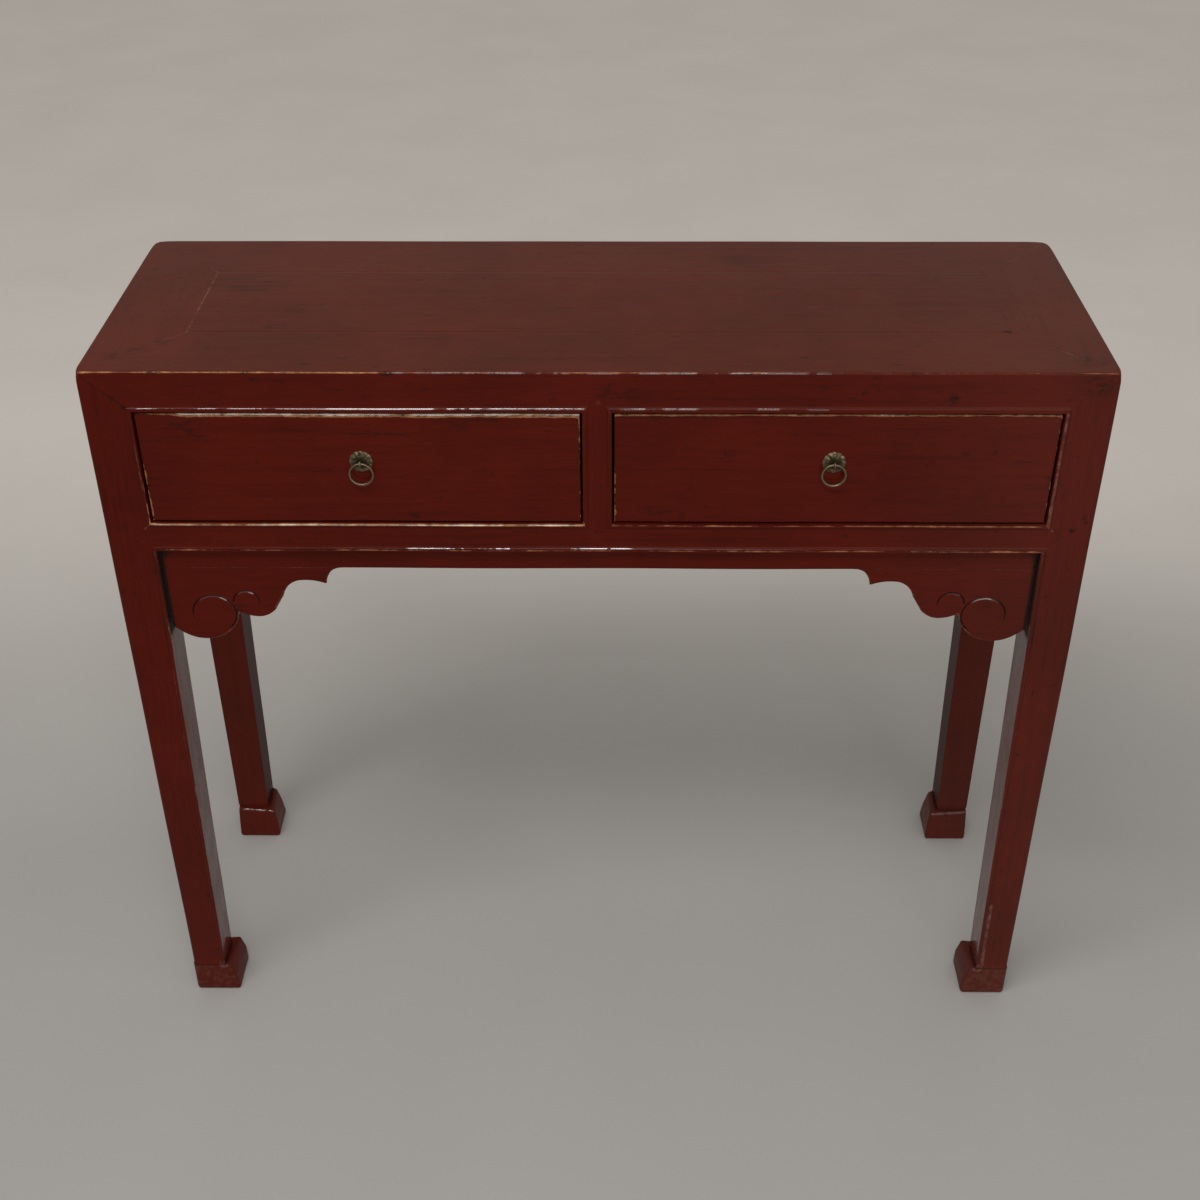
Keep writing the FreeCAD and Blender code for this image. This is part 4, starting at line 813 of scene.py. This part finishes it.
def curl_depth(flat, length, drop):
    """Depth of the two carved curls, and how far each point lies towards the top of its curl. Each
    curl is a circle walked over part of a turn: just outside it the cut falls steeply, and inside
    it the bank rises back over the carving slope. Both ends fade over an angle of their own."""
    shape = bpy.context.scene.table_shape
    depth = np.zeros_like(flat[..., 0])
    upper = np.zeros_like(depth)
    for (along, down, size), (way, start, end, fade_in, fade_out) in (BIG_CURL, SMALL_CURL):
        x = (flat[..., 0] - along * length) * way
        y = down * drop - flat[..., 1]
        angle = np.degrees(np.arctan2(y, x))
        angle = np.where(angle < start - fade_in - 10, angle + 360, angle)
        inside = size * length - np.hypot(x, y)
        outer = np.clip(1 + inside / shape.carving_wall, 0, 1)
        inner = np.clip(1 - inside / shape.carving_slope, 0, 1)
        profile = np.where(inside < 0, outer ** 2, inner ** 1.6)
        fade = np.clip((angle - start + fade_in) / fade_in, 0, 1)
        fade *= np.clip((end + fade_out - angle) / fade_out, 0, 1)
        cut = shape.carving * profile * fade
        upper = np.where(cut > depth, y / np.hypot(x, y), upper)
        depth = np.maximum(depth, cut)
    return depth, upper


def nearest_gap(points, line):
    """Distance from each point to the nearest of the line's points, in lots that fit in memory."""
    gaps = np.empty(len(points))
    for begin in range(0, len(points), 4000):
        apart = points[begin:begin + 4000, None] - line[None]
        gaps[begin:begin + 4000] = np.sqrt((apart ** 2).sum(axis=2).min(axis=1))
    return gaps


def bracket(side):
    """A bracket as a loop of points carried along its scrolled outline: down the front, round the
    lower edge and up the back. The front is pressed in by the depth of the curls."""
    node = ("left" if side < 0 else "right") + "_spandrel"
    shape = bpy.context.scene.table_shape
    low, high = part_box(node)
    length, drop = high.x - low.x, high.z - low.z
    inner_end = low.x if side < 0 else high.x
    outline = bracket_outline(length, drop, shape.grid)
    tangent = np.gradient(outline, axis=0)
    tangent /= np.maximum(np.linalg.norm(tangent, axis=1, keepdims=True), 1e-9)
    inward = np.stack([tangent[:, 1], -np.abs(tangent[:, 0])], axis=1)
    from_cusp = np.abs(outline[:, :1] / length - CUSP_SHARE) * length
    soft = shape.bracket_edge * np.clip(from_cusp / (6 * MM), 0.15, 1)
    edge = outline + inward * np.minimum(soft, outline[:, 1:] * 0.4)
    top = outline * (1, 0)
    rows = int(drop / shape.grid / 1.1)
    front = top + np.linspace(0, 1, rows)[:, None, None] * (edge - top)
    front_y = low.y + curl_depth(front, length, drop)[0]
    loops = [np.concatenate([front, front_y[..., None]], axis=2)]
    edge_depth = curl_depth(edge, length, drop)[0]
    for angle in np.linspace(0, np.pi / 2, 5)[1:]:
        place = edge + (outline - edge) * math.sin(angle)
        y = low.y + edge_depth * math.cos(angle) + soft[:, 0] * (1 - math.cos(angle))
        loops.append(np.concatenate([place, y[:, None]], axis=1)[None])
    for place in (outline, top):
        loops.append(np.concatenate([place, np.full((len(place), 1), high.y)], axis=1)[None])
    grid = np.concatenate(loops, axis=0)
    count, columns = grid.shape[:2]
    points = np.stack([inner_end - side * grid[..., 0], grid[..., 2], high.z - grid[..., 1]], axis=-1)
    faces = grid_faces(count, columns, close_rows=True).tolist()
    faces += [list(range(first, count * columns, columns)) for first in (0, columns - 1)]
    mesh = mesh_of(node, points, faces)
    found = vertex_array(mesh)
    flat = np.stack([side * (inner_end - found[:, 0]), high.z - found[:, 2]], axis=1)
    gaps = nearest_gap(flat, outline[::2])
    cut, upper = curl_depth(flat, length, drop)
    cut /= shape.carving
    lobes = np.abs(flat[:, 0] / length - LOBES_SHARE) < 0.5 * LOBES_SHARE
    rail_gap = flat[:, 1] / (0.8 * MM) + 0.4
    behind = 3.0 * (found[:, 1] > low.y + 4 * MM)
    # The darkening share paints shade in the carved grooves and on the end that stands in the gap beside
    # the leg.
    shares = {"wear": gaps / MM + np.where(lobes, 0.45, 0.75),
              "dust": np.minimum(gaps / (2.0 * MM) + np.where(lobes, -0.15, 0.2), rail_gap),
              "grime_and_shade": np.minimum(1.05 - 1.1 * cut, flat[:, 0] / (4 * MM) + 0.2),
              "gloss": 1.1 - 1.3 * cut + np.where(upper > 0.75, 0, 8)}
    for name, values in shares.items():
        set_share(mesh, name, values + behind)
    mesh.vertices.foreach_set("co", sway(found).astype(np.float32).ravel())
    mesh.update()
    return new_piece(node, mesh, "table", lacquer("X"))


# Ring pulls

PETALS = 12
RING_SIDES = 18
EYE_POINTS = 40


def brass_piece(node, body, points, rubbed, smooth, **closed):
    """A piece of old brass from a grid of points. How much it is rubbed is a function of them."""
    mesh = mesh_of(node, points, grid_faces(*points.shape[:2], **closed).tolist())
    set_share(mesh, "wear", rubbed(vertex_array(mesh)))
    return new_piece(node, mesh, body, brass(), smooth)


def plate(side):
    """A rosette: height over angle and radius, where the rim's radius dips between petals and each
    petal is fluted by the cosine of its angle."""
    node = side + "_pull_plate"
    low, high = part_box(node)
    x, z = (low.x + high.x) / 2, (low.z + high.z) / 2
    outer, crown = (high.x - low.x) / 2, high.y - low.y
    rim = 0.35 * crown
    angles = np.linspace(0, 2 * np.pi, PETALS * 14, endpoint=False)
    shares = np.concatenate([np.linspace(0, 0.9, 16), [0.95, 0.985, 1.0]])
    angle, share = np.meshgrid(angles, shares, indexing="ij")
    wave = np.abs(np.cos(angle * PETALS / 2))
    radius = share * outer * (0.93 + 0.07 * wave ** 0.55)
    dome = rim + (crown - rim) * (1 - share ** 2)
    flute = 0.09 * crown * (wave - 0.6) * np.clip(share * 2.2 - 0.7, 0, 1)
    height = (dome + flute) * np.where(share > 0.99, 0.72, 1.0)
    top = np.stack([x + radius * np.sin(angle), high.y - height, z + radius * np.cos(angle)], axis=-1)
    base = top[:, -1:].copy()
    base[..., 1] = high.y
    middle = base.copy()
    middle[..., 0], middle[..., 2] = x, z
    points = np.concatenate([top, base, middle], axis=1)

    def rubbed(found):
        reach = np.hypot(found[:, 0] - x, found[:, 2] - z) / outer
        return np.clip(1.7 - 1.5 * reach, 0.1, 2)

    return brass_piece(node, side + "_drawer", points, rubbed, 50, close_rows=True)


def tube(path, radii, sides=14):
    """A round wire of varying radius along a path. Two directions square to the path are carried
    along it, and the ends close to a point."""
    step = np.gradient(path, axis=0)
    step /= np.linalg.norm(step, axis=1, keepdims=True)
    first = np.zeros_like(path)
    guide = np.cross(step[0], (0.31, 0.62, 0.72))
    for place, direction in enumerate(step):
        guide = guide - direction * (guide @ direction)
        guide = guide / np.linalg.norm(guide)
        first[place] = guide
    second = np.cross(step, first)
    around = np.linspace(0, 2 * np.pi, sides, endpoint=False)
    turns = around[None, :, None]
    ring = np.cos(turns) * first[:, None] + np.sin(turns) * second[:, None]
    return path[:, None] + ring * np.asarray(radii)[:, None, None]


def pin(side):
    """A split pin bent from one wire: in along the shank, round the eye, back along the shank, and
    both ends bent flat behind the drawer's front."""
    node = side + "_pull_pin"
    low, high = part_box(node)
    wire = 1.0 * MM
    thin = wire * bpy.context.scene.table_shape.wire_share
    eye_radius = (high.z - low.z) / 2 - wire
    x, z = (low.x + high.x) / 2, (low.z + high.z) / 2
    eye_y, back = low.y + wire + eye_radius, high.y - thin
    open_angle = math.asin(thin / eye_radius)
    turn = np.linspace(open_angle, 2 * np.pi - open_angle, EYE_POINTS)
    eye = np.stack([np.full(EYE_POINTS, x), eye_y + eye_radius * np.cos(turn),
                    z + eye_radius * np.sin(turn)], axis=1)
    bend = np.linspace(0, np.pi / 2, 7)
    corner = 1.4 * MM
    curve_y, curve_x = back - corner + corner * np.sin(bend), corner * (1 - np.cos(bend))
    straight = np.linspace(eye[0, 1], back - corner, 8)[1:-1]
    flat = np.linspace(corner, (high.x - low.x) / 2 - 0.2 * MM, 5)[1:]
    halves = []
    for way in (1, -1):
        across = np.concatenate([0 * straight, curve_x, flat])
        inward = np.concatenate([straight, curve_y, 0 * flat + back])
        halves.append(np.stack([x + way * across, inward, 0 * across + z + way * thin], axis=1))
    path = np.vstack([halves[0][::-1], eye, halves[1]])
    shank = len(halves[0])
    radii = np.concatenate([np.full(shank, thin), np.full(EYE_POINTS, wire), np.full(shank, thin)])
    radii[shank:shank + 4] = np.linspace(thin, wire, 4)
    radii[-shank - 4:-shank] = np.linspace(wire, thin, 4)
    points = tube(path, radii)
    ends = np.repeat(path[[0, -1]][:, None], points.shape[1], axis=1)
    points = np.concatenate([ends[:1], points, ends[1:]], axis=0)

    def rubbed(found):
        return np.clip((found[:, 1] - low.y) / (6 * MM), 0.15, 2)

    return brass_piece(node, side + "_drawer", points, rubbed, 60, close_columns=True)


def ring(side):
    """A hanging ring: a circle of wire whose thickness swells slowly and is thinnest at the eye."""
    node = side + "_pull_ring"
    low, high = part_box(node)
    wire = (high.y - low.y) / 2
    centre = (np.array(low) + np.array(high)) / 2
    turn = np.linspace(0, 2 * np.pi, 120, endpoint=False)
    around = np.linspace(0, 2 * np.pi, RING_SIDES, endpoint=False)
    swell = wire * (0.93 - 0.07 * np.cos(turn) + 0.02 * np.sin(3 * turn + 1) + 0.015 * np.sin(7 * turn))
    t, a = np.meshgrid(turn, around, indexing="ij")
    out = (high.x - low.x) / 2 - wire + swell[:, None] * np.cos(a)
    points = centre + np.stack([out * np.sin(t), swell[:, None] * np.sin(a), out * np.cos(t)], axis=-1)

    def rubbed(found):
        return np.clip(0.55 + 0.5 * (found[:, 1] - centre[1]) / wire, 0.1, 1)

    return brass_piece(node, side + "_ring", points, rubbed, 60, close_rows=True, close_columns=True)


# Operators


def lacquered(marks, rounds=(), **axes):
    """Finish each node named in lacquer, its grain along the axis given."""
    for node, axis in axes.items():
        soften(node, "table", lacquer(axis), marks, rounds)


def left_bare(body, spacing=None, **axes):
    """Finish each node named in plain wood, its grain along the axis given."""
    for node, axis in axes.items():
        soften(node, body, plain_wood(axis), spacing=spacing)


class TABLE_OT_tabletop(bpy.types.Operator):
    """Finish the mitred frame, the floating panel and the battens below it"""
    bl_idname = "table.tabletop"
    bl_label = "Tabletop"

    def execute(self, context):
        marks = table_marks()
        for node, axis in (("top_front_rail", "X"), ("top_back_rail", "X"), ("top_left_end_rail", "Y"),
                           ("top_right_end_rail", "Y")):
            planes = []
            for side in (-1, 1):
                for y, inner_y in ((FRONT, PANEL_FRONT), (BACK, PANEL_BACK)):
                    planes += mitre_planes((side * HALF_WIDTH, y, TOP), (side * PANEL_X, inner_y, TOP))
                if node == "top_front_rail":
                    planes += front_mitre(side)
            soften(node, "table", lacquer(axis, True), marks, planes=planes)
        soften("top_panel", "table", lacquer("X", True), marks, reshape=close_seam)
        left_bare("table", left_batten="Y", centre_batten="Y", right_batten="Y")
        return {"FINISHED"}


def close_seam(points, normals):
    """The panel's upper face swollen: by half the seam at its left end, and by all of it elsewhere,
    where old lacquer fills the seam."""
    swell = np.full((len(points), 2), 0.41 * MM)
    swell[points[:, 0] < 0, 0] = 0.2 * MM
    upper = points[:, 2] > TOP - MM
    size = np.array([panel_high.x - PANEL_TONGUE, (panel_high.y - panel_low.y) / 2 - PANEL_TONGUE])
    middle = np.array([0.0, (panel_high.y + panel_low.y) / 2])
    grown = points.copy()
    grown[:, :2] += np.where(upper[:, None], (points[:, :2] - middle) / size * swell, 0)
    return grown


class TABLE_OT_legs(bpy.types.Operator):
    """Finish the four tapered legs with their hoof feet"""
    bl_idname = "table.legs"
    bl_label = "Legs"

    def execute(self, context):
        shape = context.scene.table_shape
        marks = table_marks()
        slope = (LEG_WIDTH - ANKLE) / (RAIL_LOW - FOOT_HIGH)
        rounds = [(under(FOOT_HIGH), shape.foot_edge, 4)]
        ledge_planes = [((0, 0, FOOT_HIGH + step * MM), (0, 0, 1))
                        for step in (0.4, -0.4, -1.2, -2, -2.8, -6.2, -7, -7.8)]
        for side_x, side_y, node in ((-1, -1, "front_left_leg"), (1, -1, "front_right_leg"),
                                     (-1, 1, "back_left_leg"), (1, 1, "back_right_leg")):
            outer_y = FRONT if side_y < 0 else BACK
            planes = ledge_planes + (front_mitre(side_x) if side_y < 0 else [])
            for offset in (1.6 * MM, 4.2 * MM, 8 * MM):
                inner = LEG_WIDTH - offset
                planes += [((side_x * (HALF_WIDTH - inner), 0, RAIL_LOW), (-side_x, 0, -slope)),
                           ((0, outer_y - side_y * inner, RAIL_LOW), (0, -side_y, -slope))]

            def foot_step(points, normals, outward=np.array([side_x, side_y, 0.0])):
                """Points below the ledge's height, on faces that look outwards, pushed out."""
                out = np.clip(normals * outward, 0, None)
                size = np.linalg.norm(out, axis=1, keepdims=True)
                out = outward * np.where(size > 0.3, out / np.maximum(size, 1e-6), 0)
                low = np.clip((FOOT_HIGH + 0.4 * MM - points[:, 2:]) / (0.8 * MM), 0, 1)
                return points + shape.plinth * low * out

            def inner_face(points, normals, outward=side_x):
                """How much soft shine the face towards the other leg still has, below the bracket: most
                of it in front, and less than none at the back, where it paints shade on that face."""
                inner = (normals[:, 0] * outward < -0.8) & (points[:, 2] < BRACKET_LOW)
                inner &= points[:, 2] > FOOT_HIGH + MM
                return np.where(inner, 0.95 if points[0, 1] < 0 else -1.0, 0.0)

            soften(node, "table", lacquer("Z"), marks, rounds, planes,
                   reshape=foot_step, shine_and_shade=inner_face)
        return {"FINISHED"}


class TABLE_OT_rails(bpy.types.Operator):
    """Finish the lower rails, the upright between the drawers and the boards that close the box"""
    bl_idname = "table.rails"
    bl_label = "Rails and boards"

    def execute(self, context):
        lacquered(table_marks(), drawer_rail="X", centre_stile="Z", back_lower_rail="X",
                  left_lower_rail="Y", right_lower_rail="Y", left_side_panel="Y", right_side_panel="Y")
        left_bare("table", back_panel="X")
        return {"FINISHED"}


class TABLE_OT_aprons(bpy.types.Operator):
    """Finish the strips under the rails and carve the two scrolled brackets"""
    bl_idname = "table.aprons"
    bl_label = "Aprons"

    def execute(self, context):
        marks = table_marks()
        lacquered(marks, [(under(STRIP_LOW), context.scene.table_shape.seam_edge, 1)], front_apron="X")
        lacquered(marks, left_apron="Y", right_apron="Y")
        bracket(-1)
        bracket(1)
        return {"FINISHED"}


class TABLE_OT_inner_woodwork(bpy.types.Operator):
    """Finish the runners, guides and stops that carry the drawers"""
    bl_idname = "table.inner_woodwork"
    bl_label = "Inner woodwork"

    def execute(self, context):
        left_bare("table", HIDDEN_SPACING, left_runner="Y", right_runner="Y",
                  centre_bearer="Y", left_guide="Y", right_guide="Y", centre_guide="Y", left_stop="Y",
                  right_stop="Y")
        return {"FINISHED"}


class TABLE_OT_drawers(bpy.types.Operator):
    """Finish both drawers: a lacquered front and four plain boards each"""
    bl_idname = "table.drawers"
    bl_label = "Drawers"

    def execute(self, context):
        shape = context.scene.table_shape
        for side, rubbed, paleness in (("left", 2.3, -0.75), ("right", 1.5, -0.15)):
            body = side + "_drawer"
            low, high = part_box(body + "_front")
            face = [(lambda a, b: max(a.y, b.y) < low.y + 0.1 * MM, shape.drawer_edge, 4)]
            soften(body + "_front", body, lacquer("X"),
                   drawer_marks(low, high, rubbed, paleness), face)
            boards = {"_outer_side": "Y", "_inner_side": "Y", "_back": "X", "_bottom": "X"}
            left_bare(body, HIDDEN_SPACING, **{body + name: axis for name, axis in boards.items()})
        return {"FINISHED"}


class TABLE_OT_pulls(bpy.types.Operator):
    """Make the rosettes, split pins and hanging rings"""
    bl_idname = "table.pulls"
    bl_label = "Ring pulls"

    def execute(self, context):
        for side in ("left", "right"):
            plate(side)
            pin(side)
            ring(side)
        return {"FINISHED"}


def soft_lamp(name, place, aim, size, power):
    """A rectangular lamp that looks at a point."""
    lamp = bpy.data.lights.new(name, "AREA")
    lamp.shape = "RECTANGLE"
    lamp.size, lamp.size_y = size
    lamp.energy = power
    holder = bpy.data.objects.new(name, lamp)
    holder.location = place
    holder.rotation_euler = (Vector(aim) - Vector(place)).to_track_quat("-Z", "Y").to_euler()
    bpy.context.scene.collection.objects.link(holder)


class TABLE_OT_stage(bpy.types.Operator):
    """Set up the pale floor, the soft light and the camera at the photograph's angle"""
    bl_idname = "table.stage"
    bl_label = "Stage"

    def execute(self, context):
        scene, stage = context.scene, context.scene.table_stage
        reach = 60.0
        corners = [(x * reach, y * reach, 0) for x, y in ((-1, -1), (1, -1), (1, 1), (-1, 1))]
        mesh = bpy.data.meshes.new("floor")
        mesh.from_pydata(corners, [], [(0, 1, 2, 3)])
        floor = bpy.data.objects.new("floor", mesh)
        scene.collection.objects.link(floor)
        m = Maker("pale_floor")
        colour = m.mix(m.step(m.split(m.place)["Y"], 0.0, 1.5), stage.floor, stage.far_floor)
        speckle = m.times(m.step(m.noise(3.0, 4.0), 0.3, 0.7), 0.05)
        colour = m.mix(speckle, colour, (0.2, 0.19, 0.18))
        mesh.materials.append(m.finish(Base_Color=colour, Roughness=0.75))
        scene.world = scene.world or bpy.data.worlds.new("soft_light")
        scene.world.use_nodes = True
        sky = scene.world.node_tree.nodes["Background"]
        sky.inputs["Color"].default_value = (1.0, 0.985, 0.96, 1.0)
        sky.inputs["Strength"].default_value = stage.world
        soft_lamp("long_lamp", (-0.6, -1.35, 2.9), (0, -0.1, 0.8), (2.3, 0.4), stage.key)
        soft_lamp("front_lamp", (0.8, -3.4, 1.3), (0, 0, 0.5), (2.4, 1.6), stage.fill)
        camera = bpy.data.cameras.new("photo_camera")
        camera.lens, camera.sensor_width = stage.focal, 36.0
        holder = bpy.data.objects.new("photo_camera", camera)
        turn = (Matrix.Rotation(stage.yaw, 4, "Z") @ Matrix.Rotation(stage.pitch, 4, "X")
                @ Matrix.Rotation(stage.roll, 4, "Z"))
        holder.matrix_world = Matrix.Translation(stage.eye) @ turn
        scene.collection.objects.link(holder)
        scene.camera = holder
        scene.view_settings.view_transform = "Standard"
        return {"FINISHED"}


class TABLE_PT_panel(bpy.types.Panel):
    """Buttons that build each group of pieces"""
    bl_label = "Console Table"
    bl_idname = "TABLE_PT_panel"
    bl_space_type = "VIEW_3D"
    bl_region_type = "UI"
    bl_category = "Console Table"

    def draw(self, context):
        for operator in OPERATORS:
            self.layout.operator(operator.bl_idname)
        for group in (getattr(context.scene, name) for name in GROUPS):
            for name in group.bl_rna.properties.keys():
                if name not in ("rna_type", "name"):
                    self.layout.prop(group, name)


GROUPS = {"table_finish": TableFinish, "table_shape": TableShape, "table_stage": TableStage}
OPERATORS = (TABLE_OT_stage, TABLE_OT_tabletop, TABLE_OT_legs, TABLE_OT_rails, TABLE_OT_aprons,
             TABLE_OT_inner_woodwork, TABLE_OT_drawers, TABLE_OT_pulls)
CLASSES = (*GROUPS.values(), *OPERATORS, TABLE_PT_panel)


def register():
    for thing in CLASSES:
        bpy.utils.register_class(thing)
    for name, group in GROUPS.items():
        setattr(bpy.types.Scene, name, bpy.props.PointerProperty(type=group))


def unregister():
    for name in GROUPS:
        delattr(bpy.types.Scene, name)
    for thing in reversed(CLASSES):
        bpy.utils.unregister_class(thing)


def main():
    register()
    bpy.ops.table.stage()
    bpy.ops.table.tabletop()
    bpy.ops.table.legs()
    bpy.ops.table.rails()
    bpy.ops.table.aprons()
    bpy.ops.table.inner_woodwork()
    bpy.ops.table.drawers()
    bpy.ops.table.pulls()
    bpy.context.view_layer.update()


if __name__ == "__main__":
    main()
